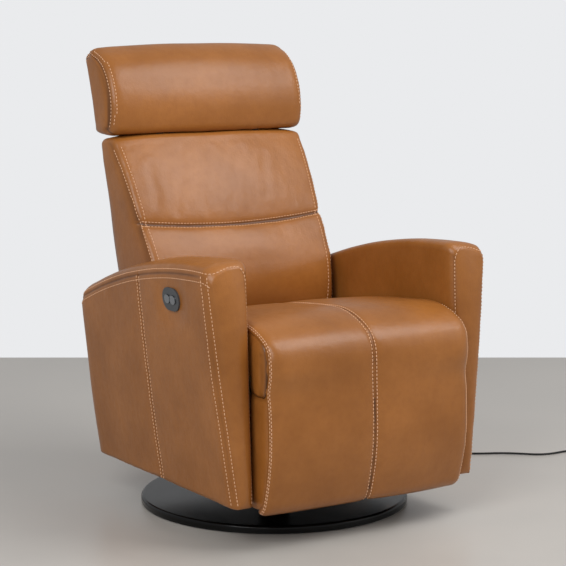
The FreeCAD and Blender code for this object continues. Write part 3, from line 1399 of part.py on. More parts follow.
def main():
    save("base_disc", base_disc())
    save("foot_pad", foot_pad())
    save("swivel_post", swivel_post())
    save("flange_bolts", flange_bolts())
    save("thrust_washer", thrust_washer())
    save("rotary_connector", rotary_connector())
    save("inlet_box", inlet_box())
    save("strain_relief", strain_relief())
    save("power_lead", power_lead())
    coil = Coil()
    save("lead_coil", coiled_lead(coil))
    save("power_plug", power_plug(coil))

    save("swivel_hub", swivel_hub())
    save("front_cross_tube", cross_tube(TUBE_FRONT_Y))
    save("rear_cross_tube", cross_tube(TUBE_REAR_Y))
    save_pair("side_plate", both_sides(side_frame_plate))
    save("seat_frame", seat_frame())
    save("seat_webbing", seat_webbing())
    save("rear_panel", rear_panel())
    save("seat_cushion", seat_cushion())
    save_pair("seat_hinge_bracket", both_sides(seat_hinge_bracket))
    save_pair("footrest_pin", both_sides(footrest_pin))
    save_pair("back_pin", both_sides(back_pin))

    left_bolts, right_bolts = both_sides(arm_bolts)
    left_board, right_board = both_sides(lambda: arm_board().cut(right_bolts))
    right_pad = arm_pad(right_board, right_bolts)
    left_pad = right_pad.mirror(V(0, 0, 0), AXIS_X)
    control = Control()
    left_pad = left_pad.cut(control.oval(BEZEL_H, BEZEL_L, -BEZEL_IN, ARM_OUT_R))
    left_pad = left_pad.cut(control.oval(SWITCH_H, SWITCH_L, -SWITCH_DEPTH, -BEZEL_IN))
    save_pair("arm_pad", (left_pad, right_pad))
    save_pair("arm_board", (left_board, right_board))
    save_pair("arm_bolts", (left_bolts, right_bolts))
    save("control_bezel", control_bezel(control))
    save("switch_box", switch_box(control))
    save("return_domes", Part.makeCompound([dome(control, index) for index in (0, 1)]))
    save("raise_button", button_shape(control, 0))
    save("lower_button", button_shape(control, 1))

    drive = Actuator()
    save("actuator_rod", actuator_rod(drive))
    save("screw_tube", screw_tube(drive))
    save("drive_motor", drive_motor(drive))
    save("motor_bracket", motor_bracket(drive))
    save("power_supply", power_supply())
    print("rod: slide axis %.5f %.5f, ratio %.5f m/rad" % (drive.along.y, drive.along.z,
                                                         drive.stroke / 2000 / drive.half))

    save("footrest_pad", footrest_pad())
    save("footrest_board", footrest_board())
    save_pair("footrest_hinge_arm", both_sides(footrest_hinge_arm))
    save("crank_lug", crank_lug())

    frame = back_frame()
    webbing = back_webbing()
    guides = post_guides()
    form = back_form()
    room = back_hardware_room(frame, webbing, guides)
    save("back_frame", frame)
    save("back_webbing", webbing)
    save("post_guides", guides)
    save_pair("back_plate", both_sides(back_plate))
    save("back_cushion", form.common(back_split(True)).cut(room))
    save("back_shell", form.common(back_split(False)).cut(room))

    plate = headrest_plate()
    save("left_headrest_post", headrest_post(-1))
    save("right_headrest_post", headrest_post(1))
    save("headrest_pins", head_pins())
    save("headrest_plate", plate)
    save("headrest_cushion", headrest_cushion(plate))
    print("button axis out %.5f %.5f" % (control.out.x, control.out.z))


main()
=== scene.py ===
import json
import math

import bmesh
import bpy
import numpy as np
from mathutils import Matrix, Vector, noise
from mathutils.bvhtree import BVHTree
from mathutils.kdtree import KDTree


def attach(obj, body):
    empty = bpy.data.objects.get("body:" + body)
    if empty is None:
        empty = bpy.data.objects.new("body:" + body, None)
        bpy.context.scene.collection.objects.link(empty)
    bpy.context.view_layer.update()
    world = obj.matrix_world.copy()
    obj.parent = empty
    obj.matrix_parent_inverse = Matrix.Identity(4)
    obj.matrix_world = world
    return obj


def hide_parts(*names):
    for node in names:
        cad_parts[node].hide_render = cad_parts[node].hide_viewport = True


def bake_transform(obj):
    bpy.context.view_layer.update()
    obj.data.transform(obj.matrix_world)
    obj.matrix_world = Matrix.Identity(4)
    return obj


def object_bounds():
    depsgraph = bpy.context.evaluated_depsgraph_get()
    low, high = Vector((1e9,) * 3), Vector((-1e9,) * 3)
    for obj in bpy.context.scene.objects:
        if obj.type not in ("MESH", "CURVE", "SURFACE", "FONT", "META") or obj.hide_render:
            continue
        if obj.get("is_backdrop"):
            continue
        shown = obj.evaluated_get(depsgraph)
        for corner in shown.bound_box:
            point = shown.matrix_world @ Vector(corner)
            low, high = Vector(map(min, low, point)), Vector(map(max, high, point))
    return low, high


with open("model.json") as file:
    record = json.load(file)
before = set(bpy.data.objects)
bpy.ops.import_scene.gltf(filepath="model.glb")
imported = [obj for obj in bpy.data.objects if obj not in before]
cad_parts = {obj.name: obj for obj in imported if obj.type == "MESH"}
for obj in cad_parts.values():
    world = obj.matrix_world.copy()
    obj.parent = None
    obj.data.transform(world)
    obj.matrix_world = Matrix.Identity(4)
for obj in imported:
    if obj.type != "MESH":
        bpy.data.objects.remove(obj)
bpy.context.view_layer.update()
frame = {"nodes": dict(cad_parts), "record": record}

SCENE = bpy.context.scene
SCENE.view_settings.view_transform = "Standard"

# Camera at the photograph's place
camera = bpy.data.objects.new("camera", bpy.data.cameras.new("camera"))
camera.data.lens = 124.2
camera.data.sensor_width = 36.0
camera.location = (-2.4283, -3.9237, 1.2158)
camera_aim = Vector((0.0249, 0.0, 0.5270)) - camera.location
camera.rotation_euler = camera_aim.to_track_quat("-Z", "Y").to_euler()
SCENE.collection.objects.link(camera)
SCENE.camera = camera


class Wire:
    """One output or value in a material, so that shader maths is written as plain maths."""

    def __init__(self, finish, socket):
        self.finish = finish
        self.socket = socket

    def maths(self, operation, first, second):
        return self.finish.node("ShaderNodeMath", {"operation": operation}, {0: first, 1: second})

    def __add__(self, other):
        return self.maths("ADD", self, other)

    def __radd__(self, other):
        return self.maths("ADD", other, self)

    def __sub__(self, other):
        return self.maths("SUBTRACT", self, other)

    def __mul__(self, other):
        return self.maths("MULTIPLY", self, other)

    def __rmul__(self, other):
        return self.maths("MULTIPLY", other, self)

    def clipped(self):
        return self.finish.node("ShaderNodeClamp", {}, {0: self, 1: 0.0, 2: 1.0})


class Finish:
    """A material, or the world, and its nodes."""

    def __init__(self, name, owner=None):
        self.owner = owner or bpy.data.materials.new(name)
        self.owner.use_nodes = True
        self.tree = self.owner.node_tree
        kind = "ShaderNodeBsdfPrincipled" if owner is None else "ShaderNodeBackground"
        self.surface = next(n for n in self.tree.nodes if n.bl_idname == kind)

    def node(self, kind, settings=None, sockets=None, out=0):
        made = self.tree.nodes.new(kind)
        for name, value in (settings or {}).items():
            setattr(made, name, value)
        for key, value in (sockets or {}).items():
            self.feed(made.inputs[key], value)
        return Wire(self, made.outputs[out])

    def feed(self, socket, value):
        if isinstance(value, Wire):
            self.tree.links.new(value.socket, socket)
        else:
            socket.default_value = value

    def set(self, **values):
        for name, value in values.items():
            self.feed(self.surface.inputs[name.replace("_", " ")], value)
        return self

    def mix(self, factor, first, second):
        return self.node("ShaderNodeMix", {"data_type": "RGBA"}, {0: factor, 6: first, 7: second}, 2)

    def place(self, name=None):
        if name:
            return self.node("ShaderNodeAttribute", {"attribute_name": name}, {}, 1)
        return self.node("ShaderNodeTexCoord", {}, {}, 3)

    def attribute(self, name):
        return self.node("ShaderNodeAttribute", {"attribute_name": name}, {}, 2)

    def noise(self, place, scale, detail=3.0, rough=0.5):
        inputs = {"Vector": place, "Scale": scale, "Detail": detail, "Roughness": rough}
        return self.node("ShaderNodeTexNoise", {}, inputs)

    def cells(self, place, scale, feature="F1"):
        return self.node("ShaderNodeTexVoronoi", {"feature": feature}, {"Vector": place, "Scale": scale})

    def stretched(self, place, factors):
        return self.node("ShaderNodeVectorMath", {"operation": "MULTIPLY"}, {0: place, 1: factors})

    def bump(self, height, strength, distance, under=None):
        sockets = {"Strength": strength, "Distance": distance, "Height": height}
        if under:
            sockets["Normal"] = under
        return self.node("ShaderNodeBump", {}, sockets)


def srgb(red, green, blue):
    def straight(value):
        value = value / 255
        return value / 12.92 if value <= 0.04045 else ((value + 0.055) / 1.055) ** 2.4
    return (straight(red), straight(green), straight(blue), 1.0)


def leather():
    made = Finish("Tan leather")
    place = made.place("rest_place")
    clouds = made.noise(place, 5.5, 4.0, 0.6)
    mottle = made.noise(place, 70.0, 3.0, 0.6)
    broad = ((clouds - 0.32) * 2.4).clipped()
    tone = made.mix(broad, srgb(142, 86, 32), srgb(166, 105, 48))
    tone = made.mix(((mottle - 0.45) * 2.2).clipped() * 0.4, tone, srgb(134, 78, 30))
    # Painted shade: the leather darkens towards deep brown along seams, grooves, rims and under lips, by
    # the point attribute that the forms carry
    painted_shade = made.attribute("painted_shade")
    tone = made.mix(painted_shade.clipped() * 0.85, tone, srgb(66, 35, 15))
    grain = made.cells(place, 620.0, "SMOOTH_F1")
    pebble = made.noise(place, 260.0, 2.0)
    pull = made.noise(made.stretched(place, (1.0, 1.0, 0.55)), 38.0, 4.0, 0.55)
    normal = made.bump(pull, 0.25, 0.004)
    normal = made.bump(pebble, 0.25, 0.0008, normal)
    normal = made.bump(grain, 0.35, 0.0005, normal)
    made.set(Base_Color=tone, Roughness=0.27 + 0.14 * mottle, Specular_IOR_Level=0.44, Normal=normal)
    return made.owner


def thread():
    made = Finish("Pale stitching thread")
    place = made.place()
    twist = made.noise(place, 1500.0, 2.0)
    tone = made.mix(twist, srgb(214, 160, 120), srgb(232, 188, 152))
    made.set(Base_Color=tone, Roughness=0.62, Normal=made.bump(twist, 0.5, 0.0003))
    return made.owner


def lacquer():
    made = Finish("Black lacquer")
    place = made.place()
    peel = made.noise(place, 160.0, 2.0)
    dust = made.noise(place, 22.0, 5.0, 0.65)
    tone = made.mix(dust, srgb(5, 5, 4), srgb(11, 10, 10))
    made.set(Base_Color=tone, Roughness=0.14 + 0.12 * dust, Specular_IOR_Level=0.22,
             Normal=made.bump(peel, 0.06, 0.0006))
    return made.owner


def steel(name, dark, light, rough):
    made = Finish(name)
    place = made.place()
    rolled = made.noise(made.stretched(place, (1.0, 18.0, 1.0)), 45.0, 4.0, 0.6)
    spots = made.noise(place, 320.0, 3.0)
    made.set(Base_Color=made.mix(rolled, dark, light), Metallic=0.85 + 0.15 * spots,
             Roughness=rough + 0.14 * rolled, Normal=made.bump(spots, 0.12, 0.0003))
    return made.owner


def coated(name, dark, light, rough, scale=500.0):
    made = Finish(name)
    place = made.place()
    skin = made.noise(place, scale, 2.0)
    wear = made.noise(place, 18.0, 5.0, 0.6)
    made.set(Base_Color=made.mix(wear, dark, light), Roughness=rough + 0.12 * skin,
             Normal=made.bump(skin, 0.25, 0.0004))
    return made.owner


def plywood():
    made = Finish("Birch plywood")
    place = made.place()
    rings = made.noise(made.stretched(place, (1.0, 0.12, 6.0)), 34.0, 6.0, 0.65)
    pores = made.noise(made.stretched(place, (1.0, 0.05, 1.0)), 700.0, 2.0)
    tone = made.mix(rings, srgb(168, 132, 88), srgb(214, 184, 138))
    made.set(Base_Color=tone, Roughness=0.55 + 0.2 * pores, Normal=made.bump(pores, 0.3, 0.0004))
    return made.owner


def woven(name, dark, light, scale):
    made = Finish(name)
    place = made.place()
    warp = made.node("ShaderNodeTexWave", {"bands_direction": "X"}, {"Vector": place, "Scale": scale}, 1)
    weft = made.node("ShaderNodeTexWave", {"bands_direction": "Y"}, {"Vector": place, "Scale": scale}, 1)
    over = warp * weft
    tone = made.mix(over, dark, light)
    made.set(Base_Color=tone, Roughness=0.85, Normal=made.bump(over, 0.5, 0.0006))
    return made.owner


def chrome():
    made = Finish("Bright button metal")
    place = made.place()
    turned = made.noise(made.stretched(place, (1.0, 1.0, 9.0)), 260.0, 3.0)
    made.set(Base_Color=made.mix(turned, srgb(128, 130, 133), srgb(172, 174, 177)), Metallic=1.0,
             Roughness=0.14 + 0.16 * turned, Normal=made.bump(turned, 0.06, 0.0002))
    return made.owner


def dressed(obj, material):
    obj.data.materials.clear()
    obj.data.materials.append(material)
    return obj


LEATHER = leather()
THREAD = thread()
DARK_STEEL = steel("Black coated steel", srgb(26, 26, 27), srgb(48, 48, 50), 0.34)
BRIGHT_STEEL = steel("Bright zinc steel", srgb(150, 152, 155), srgb(196, 198, 200), 0.26)
PLASTIC = coated("Black moulded plastic", srgb(18, 18, 19), srgb(30, 30, 32), 0.42)
RUBBER = coated("Black rubber", srgb(14, 14, 14), srgb(26, 25, 25), 0.62, 260.0)
SLOT_FINISHES = {
    "base_disc": lacquer(),
    "foot_pad": woven("Grey needled felt", srgb(62, 62, 64), srgb(96, 96, 98), 420.0),
    "swivel_steel": DARK_STEEL,
    "bolt_steel": BRIGHT_STEEL,
    "washer_nylon": coated("White nylon", srgb(205, 202, 192), srgb(226, 223, 214), 0.45),
    "connector_plastic": PLASTIC,
    "lead_rubber": RUBBER,
    "plug_plastic": PLASTIC,
    "frame_steel": DARK_STEEL,
    "frame_wood": plywood(),
    "webbing": woven("Black elastic webbing", srgb(20, 20, 22), srgb(58, 56, 54), 260.0),
    "bezel_plastic": coated("Satin bezel plastic", srgb(56, 58, 60), srgb(76, 78, 81), 0.3, 900.0),
    "dome_rubber": RUBBER,
    "button_metal": chrome(),
    "rod_steel": BRIGHT_STEEL,
    "tube_aluminium": steel("Drawn aluminium", srgb(168, 170, 174), srgb(205, 206, 208), 0.3),
    "motor_plastic": PLASTIC,
    "guide_plastic": coated("Grey guide plastic", srgb(86, 88, 90), srgb(120, 122, 124), 0.4),
}

# Power lead: its exit and its coil in metres, the points of its route in millimetres
LEAD_EXIT = (0.25211, 0.22509, 0.035)
LEAD_ROUTE = [(286, 239, 35), (322, 255, 26), (356, 270, 12), (397, 282, 2.9), (443, 277, 2.9),
              (486, 258, 2.9), (527, 229, 2.9), (571, 203, 2.9), (617, 172, 2.9), (657, 130, 2.9),
              (703, 96, 2.9), (750, 72, 3.6), (790, 40, 3.6), (826, 6, 2.9), (868, -6, 2.9),
              (912, -1, 2.9), (951, -11, 2.9), (986, -29, 2.9)]
CORD_R = 0.0026
COIL_PITCH = 2 * CORD_R + 0.0005
COIL_TURNS = 3.25
COIL_OUTER = 0.031 + COIL_PITCH * COIL_TURNS / 2
COIL_TAIL = 0.024
TIE_CORNER_R = 0.0022
POINTS_PER_TURN = 16


def coil_place(turn, centre, first, z, reach=1.0):
    """A place on the coil: in over the bottom layer, up in half a turn, and out over the top one."""
    rise = turn - COIL_TURNS
    inner = COIL_OUTER - COIL_PITCH * COIL_TURNS
    height = 0.0
    radius = COIL_OUTER - COIL_PITCH * turn
    if rise > 0.5:
        radius = inner + COIL_PITCH * (rise - 0.5)
        height = COIL_PITCH
    elif rise > 0:
        radius = inner - COIL_PITCH / (2 * math.pi) * math.sin(2 * math.pi * rise)
        height = COIL_PITCH * (1 - math.cos(2 * math.pi * rise)) / 2
    angle = first - 2 * math.pi * turn
    radius *= reach
    return Vector((centre.x + radius * math.cos(angle), centre.y + radius * math.sin(angle), z + height))


def coil_points():
    entry = Vector(LEAD_ROUTE[-1]) / 1000
    heading = (entry - Vector(LEAD_ROUTE[-2]) / 1000).normalized()
    side = Vector((heading.y, -heading.x, 0))
    centre = entry + heading * 2 * CORD_R + side * COIL_OUTER
    first = math.atan2(-side.y, -side.x)
    total = 2 * COIL_TURNS + 0.5
    reach = 1 / math.cos(math.pi / POINTS_PER_TURN)
    count = int(total * POINTS_PER_TURN)
    points = [coil_place(total * i / count, centre, first, entry.z, reach) for i in range(count + 1)]
    last = coil_place(total, centre, first, entry.z)
    run = (last - coil_place(total - 0.001, centre, first, entry.z)).normalized()
    points.append(last + run * COIL_TAIL)
    return points, centre


def smooth_cord(name, points, radius):
    data = bpy.data.curves.new(name, "CURVE")
    data.dimensions = "3D"
    data.resolution_u = 8
    data.bevel_depth = radius
    data.bevel_resolution = 3
    data.use_fill_caps = True
    spline = data.splines.new("NURBS")
    spline.points.add(len(points) - 1)
    for point, place in zip(spline.points, points):
        point.co = (*place, 1.0)
    spline.order_u = 3
    spline.use_endpoint_u = True
    made = bpy.data.objects.new(name, data)
    SCENE.collection.objects.link(made)
    return made


coil_turns, coil_centre = coil_points()
lead_points = [Vector(LEAD_EXIT)] + [Vector(p) / 1000 for p in LEAD_ROUTE] + coil_turns
lead = smooth_cord("power_cord", lead_points, CORD_R)
lead.data.materials.append(RUBBER)


def band_round(centre, angle, inner, outer, low, high, wide, thick):
    """A flat tie round a bundle, with rounded corners: an outer and an inner loop, joined."""
    along = Vector((math.cos(angle), math.sin(angle), 0))
    across = Vector((-along.y, along.x, 0))
    mesh = bmesh.new()
    rings = []
    for shift in (-wide / 2, wide / 2):
        for grow in (0.0, thick):
            loop = []
            for corner, (sx, sz) in enumerate(((1, 1), (-1, 1), (-1, -1), (1, -1))):
                for part in range(5):
                    turn = math.radians(90 * corner + 22.5 * part)
                    r = TIE_CORNER_R + grow
                    x = (outer - TIE_CORNER_R if sx > 0 else inner + TIE_CORNER_R) + r * math.cos(turn)
                    z = (high - TIE_CORNER_R if sz > 0 else low + TIE_CORNER_R) + r * math.sin(turn)
                    loop.append(mesh.verts.new(centre + along * x + across * shift + Vector((0, 0, z))))
            rings.append(loop)
    for first, second in ((0, 1), (1, 3), (3, 2), (2, 0)):
        for i in range(20):
            j = (i + 1) % 20
            mesh.faces.new((rings[first][i], rings[first][j], rings[second][j], rings[second][i]))
    bmesh.ops.recalc_face_normals(mesh, faces=mesh.faces)
    return mesh


def new_object(name, mesh, material):
    data = bpy.data.meshes.new(name)
    mesh.to_mesh(data)
    mesh.free()
    made = bpy.data.objects.new(name, data)
    SCENE.collection.objects.link(made)
    data.materials.append(material)
    return made


flat_centre = Vector((coil_centre.x, coil_centre.y, 0.0))
coil_inner = COIL_OUTER - COIL_PITCH * COIL_TURNS - COIL_PITCH
tie = new_object("coil_tie", band_round(flat_centre, 0.7, coil_inner - 0.001, COIL_OUTER + 0.0042,
                                        0.0011, 0.0118, 0.009, 0.001), RUBBER)
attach(tie, "base")
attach(lead, "base")
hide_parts("power_lead", "lead_coil")


# Leather forms: outlines are written in millimetres, the lattices are in metres
def bow(start, end, sag, count=9):
    """Points (y, z) after start, on a curve that stands out by sag from the line to end."""
    step = np.array(end) - np.array(start)
    out = np.array((step[1], -step[0])) / np.hypot(*step)
    share = np.linspace(0, 1, count + 1)[1:, None]
    return np.array(start) + share * step + out * 4 * sag * share * (1 - share)


def spaced(points, shares):
    """The points at these shares of the line's length."""
    points = np.asarray(points, float)
    steps = np.linalg.norm(np.diff(points, axis=0), axis=1)
    keep = np.concatenate(([True], steps > 1e-9))
    points = points[keep]
    length = np.concatenate(([0], np.cumsum(steps[steps > 1e-9])))
    return np.stack([np.interp(np.asarray(shares) * length[-1], length, c) for c in points.T], axis=1)


def shares(length, step, marks=(), fine=(0.0016, 0.0042, 0.0085)):
    """Shares from 0 to 1 about step apart, closer on both sides of each mark."""
    count = max(2, int(round(length / step)))
    places = list(np.linspace(0, length, count + 1))
    for mark in marks:
        middle = mark * length
        places = [p for p in places if abs(p - middle) > fine[-1] + 0.001]
        near = [middle] + [middle + s * f for f in fine for s in (-1, 1)]
        places += [p for p in near if 0 <= p <= length]
    places = sorted(set([0.0, length] + places))
    kept = [places[0]]
    for place in places[1:]:
        if place - kept[-1] > 0.0008:
            kept.append(place)
    kept[-1] = length
    return np.array(kept) / length


def in_metres(*parts):
    return [np.array(part) / 1000 for part in parts]


def edge_inset(x, half, rounding):
    depth = abs(x) - (half - rounding)
    if depth <= 0:
        return 0.0
    share = min(depth / rounding, 1.0)
    return rounding * (1.0 - math.sqrt(1.0 - share * share))


def crown_at(x, half, crown):
    return crown * (1.0 - (x / half) ** 2)


# A rounded end: an arc that rises by END_ARC_RISE over END_ARC_HALF of its radius on both sides
END_ARC_R = 42
END_ARC_RISE = 16
END_ARC_HALF = 0.785


class Form:
    """A closed cushion on a lattice: i across, j up its two sides, k over its top and bottom."""

    def __init__(self, first, second, low, high, ups, overs, end_bulge=(0.0, 0.0), end_power=4,
                 round_ends=False):
        self.size = (len(first) - 1, len(ups) - 1, len(overs) - 1)
        nx, na, nb = self.size
        self.index = {}
        points = []

        def put(i, j, k, point):
            if (i, j, k) not in self.index:
                self.index[(i, j, k)] = len(points)
                points.append(point)

        for i in range(nx + 1):
            for j in range(na + 1):
                put(i, j, 0, first[i][j])
                put(i, j, nb, second[i][j])
            for k in range(1, nb):
                put(i, 0, k, low[i][k])
                put(i, na, k, high[i][k])
        for i, bulge in ((0, end_bulge[0]), (nx, end_bulge[1])):
            inner = 1 if i == 0 else nx - 1
            out = (np.mean(first[i], axis=0) - np.mean(first[inner], axis=0))
            out = out + np.mean(second[i], axis=0) - np.mean(second[inner], axis=0)
            out = out / np.linalg.norm(out)
            for j in range(1, na):
                a = ups[j]
                for k in range(1, nb):
                    b = overs[k]
                    point = (1 - b) * first[i][j] + b * second[i][j] + (1 - a) * low[i][k] + a * high[i][k]
                    point = point - (1 - a) * ((1 - b) * low[i][0] + b * low[i][nb])
                    point = point - a * ((1 - b) * high[i][0] + b * high[i][nb])
                    full = (1 - (2 * a - 1) ** 6) * (1 - abs(2 * b - 1) ** end_power)
                    if round_ends:
                        full = (1 - (1 - a) ** 16) * (1 - a ** 9)
                        arc = END_ARC_R * math.sqrt(1 - (END_ARC_HALF * (2 * b - 1)) ** 2)
                        full *= (arc - (END_ARC_R - END_ARC_RISE)) / END_ARC_RISE
                    put(i, j, k, point + out * bulge * full)
        self.points = np.array(points)
        self.faces = []
        self.skin((nx, na), lambda u, v: (u, v, 0))
        self.skin((nx, na), lambda u, v: (u, v, nb), True)
        self.skin((nx, nb), lambda u, v: (u, 0, v), True)
        self.skin((nx, nb), lambda u, v: (u, na, v))
        self.skin((na, nb), lambda u, v: (0, u, v))
        self.skin((na, nb), lambda u, v: (nx, u, v), True)
        self.faces = np.array(self.faces)
        # Painted shade at each point, from 0 to 1, for the leather's colour
        self.painted_shade = np.zeros(len(self.points))
        if self.volume() < 0:
            self.faces = self.faces[:, ::-1]

    def skin(self, counts, key, turned=False):
        for u in range(counts[0]):
            for v in range(counts[1]):
                face = [self.index[key(*c)] for c in ((u, v), (u + 1, v), (u + 1, v + 1), (u, v + 1))]
                self.faces.append(face[::-1] if turned else face)

    def volume(self):
        a, b, c, d = (self.points[self.faces[:, n]] for n in range(4))
        near_half = np.einsum("ij,ij->i", a, np.cross(b, c))
        far_half = np.einsum("ij,ij->i", a, np.cross(c, d))
        return float(np.sum(near_half + far_half))

    def line(self, i=None, j=None, k=None, start=0, stop=None):
        """The lattice points along the one direction that isn't given."""
        free = (i, j, k).index(None)
        stop = self.size[free] if stop is None else stop
        found = []
        for n in range(start, stop + 1):
            key = [i, j, k]
            key[free] = n
            found.append(self.points[self.index[tuple(key)]])
        return np.array(found)

    def normals(self):
        corners = self.points[self.faces]
        crossed = np.cross(corners[:, 2] - corners[:, 0], corners[:, 3] - corners[:, 1])
        total = np.zeros_like(self.points)
        for n in range(4):
            np.add.at(total, self.faces[:, n], crossed)
        return total / np.maximum(np.linalg.norm(total, axis=1, keepdims=True), 1e-12)

    def away_from(self, lines):
        dense = [spaced(line, np.linspace(0, 1, max(2, int(path_length(line) / 0.002)))) for line in lines]
        dense = np.concatenate(dense)
        tree = KDTree(len(dense))
        for number, point in enumerate(dense):
            tree.insert(point, number)
        tree.balance()
        return np.array([tree.find(point)[2] for point in self.points])

    def move(self, amount):
        self.points = self.points + self.normals() * np.asarray(amount)[:, None]

    def seam(self, lines, depth, width, swell=0.0, reach=0.03, shade=1.0):
        """Draws the surface in along sewn lines, lets it swell between them, and paints shade of strength
        shade along them.
        """
        away = self.away_from(lines)
        self.move(swell * (1 - np.exp(-away / reach)) - depth * np.exp(-(away / width) ** 2))
        self.painted_shade = np.maximum(self.painted_shade, shade * np.exp(-(away / 0.0035) ** 2))
        return away

    def gathers(self, lines, height, size, reach, seed):
        """Small puckers beside sewn lines, dying away from them."""
        away = self.away_from(lines)
        offset = Vector((seed * 3.1, seed * 1.7, seed * 0.9))
        waves = np.array([noise.noise(Vector(p) / size + offset) for p in self.points])
        self.move(height * waves * np.exp(-away / reach))

    def soften(self, height, size, seed):
        offset = Vector((seed * 1.3, seed * 2.7, seed * 4.1))
        waves = np.array([noise.noise(Vector(p) / size + offset) for p in self.points])
        self.move(height * waves)

    def finished(self, name, material):
        data = bpy.data.meshes.new(name)
        data.from_pydata(self.points.tolist(), [], self.faces.tolist())
        data.update()
        # The painted shade and the rest place go to the mesh as point attributes
        layers = (("painted_shade", self.painted_shade, "FLOAT"), ("rest_place", self.points, "FLOAT_VECTOR"))
        for attribute, values, kind in layers:
            layer = data.attributes.new(attribute, kind, "POINT")
            field = "value" if kind == "FLOAT" else "vector"
            layer.data.foreach_set(field, np.ravel(values).astype(np.float32))
        data.polygons.foreach_set("use_smooth", [True] * len(data.polygons))
        made = bpy.data.objects.new(name, data)
        SCENE.collection.objects.link(made)
        data.materials.append(material)
        return made


def path_length(points):
    return float(np.sum(np.linalg.norm(np.diff(np.asarray(points), axis=0), axis=1)))


# Stitches
STITCH_PITCH = 0.0084
STITCH_LENGTH = 0.0061
STITCH_R = 0.00105
# How far the rows of stitches lie from the seam between them, and from a sewn edge
SEAM_ROW_GAP = 0.0052
EDGE_ROW_GAPS = (0.006, 0.0165)
# A stitch's rings: the place along its half length, the size and the lift in radii
STITCH_RINGS = ((-1, 0.45, -0.7), (-0.72, 0.9, 0.15), (0, 1.05, 0.5), (0.72, 0.9, 0.15), (1, 0.45, -0.7))


def stitch_rows(name, rows, cloth_objects, start=0.4):
    """Rows of separate stitches that lie on the leather along these lines."""
    trees = []
    for cloth in cloth_objects:
        corners = [v.co[:] for v in cloth.data.vertices]
        trees.append(BVHTree.FromPolygons(corners, [p.vertices[:] for p in cloth.data.polygons]))
    mesh = bmesh.new()
    for row in rows:
        length = path_length(row)
        count = int(length / STITCH_PITCH)
        middles = [(n + start) / count for n in range(count)]
        places = spaced(row, middles)
        ahead = spaced(row, [min(1, m + 0.1 / count) for m in middles])
        aims = ahead - spaced(row, [max(0, m - 0.1 / count) for m in middles])
        for place, aim in zip(places, aims):
            hits = [tree.find_nearest(Vector(place)) for tree in trees]
            spot, normal, _, gap = min(hits, key=lambda hit: hit[3])
            along = Vector(aim)
            along = (along - normal * along.dot(normal)).normalized()
            add_stitch(mesh, spot, along, normal)
    return new_object(name, mesh, THREAD)


def add_stitch(mesh, spot, along, normal):
    side = along.cross(normal)
    rings = []
    for share, size, lift in STITCH_RINGS:
        middle = spot + along * share * STITCH_LENGTH / 2 + normal * lift * STITCH_R
        ring = []
        for corner in range(6):
            turn = math.radians(60 * corner)
            out = side * math.cos(turn) + normal * math.sin(turn)
            ring.append(mesh.verts.new(middle + out * STITCH_R * size))
        rings.append(ring)
    mesh.faces.new(rings[0][::-1])
    mesh.faces.new(rings[-1])
    for first, second in zip(rings, rings[1:]):
        for n in range(6):
            m = (n + 1) % 6
            face = mesh.faces.new((first[n], first[m], second[m], second[n]))
            face.smooth = True


def beside(line, normals, offset):
    """The line moved sideways along the surface by offset."""
    line = np.asarray(line)
    aims = np.gradient(line, axis=0)
    sides = np.cross(aims, normals)
    sides = sides / np.linalg.norm(sides, axis=1, keepdims=True)
    return line + sides * offset


# Seat, footrest and the front panel that covers both
SEAT_HALF = 266.0
SEAT_LOW_Z = 382.0
FOAM_HALF = 262.0
PIVOT = (-380.0, 425.0)


def about_pivot(radius, degrees):
    turn = math.radians(degrees)
    return (PIVOT[0] + radius * math.cos(turn), PIVOT[1] + radius * math.sin(turn))


def drawn_corner(x, line):
    """The line with its knee drawn back beside the side seams."""
    share = min(1.0, max(0.0, (abs(x) - 226.0) / 38.0))
    line[:, 0] += 12.0 * share ** 2 * np.exp(-((line[:, 1] - 388.0) / 44.0) ** 2)
    return line


def seat_line(x, sunk):
    """The seat's outline at x as (y, z), from its rear top over the crest and nose to under the nose."""
    inset = edge_inset(x, SEAT_HALF, 16.0)
    lift = crown_at(x, SEAT_HALF, 10.0) - inset - sunk
    fore = crown_at(x, SEAT_HALF, 4.0) - inset - sunk
    rear = (115.0 - inset, 449.0 - inset - sunk)
    crest = (-262.0, 500.0 + lift)
    brow = (-388.0 + inset, 473.0 + lift * 0.7)
    front = (-419.0 - fore, 427.0)
    corner = about_pivot(50 - inset * 0.5 - sunk, 208.0)
    under = (PIVOT[0] - 25.5 + sunk, SEAT_LOW_Z)
    line = np.concatenate(([rear], bow(rear, crest, 6.0 + lift / 2, 20), bow(crest, brow, 9.5),
                           bow(brow, front, 7.5), [corner], bow(corner, under, 2.0, 4)))
    return drawn_corner(x, line)


def pad_line(x, sunk):
    """The pad's front at x as (y, z), from its top edge down to its bottom edge."""
    inset = edge_inset(x, SEAT_HALF, 14.0)
    fore = crown_at(x, SEAT_HALF, 14.0) - inset - 14.0 - sunk
    low = 84.0 + inset * 0.5 + sunk
    top_edge = (-419.0 - fore, 372.0)
    top = (-425.5 - fore, 354.0)
    full = (-427.0 - fore, 300.0)
    bottom = (-405.0 - fore, low + 22.0)
    bottom_edge = (-387.0 - fore, low)
    line = np.concatenate(([top_edge], bow(top_edge, top, 2.7, 4), bow(top, full, 0.8, 4),
                           bow(full, bottom, 10.0, 12), bow(bottom, bottom_edge, 6.3, 5)))
    return drawn_corner(x, line)


def across_x(x, line):
    return np.column_stack((np.full(len(line), x), line))


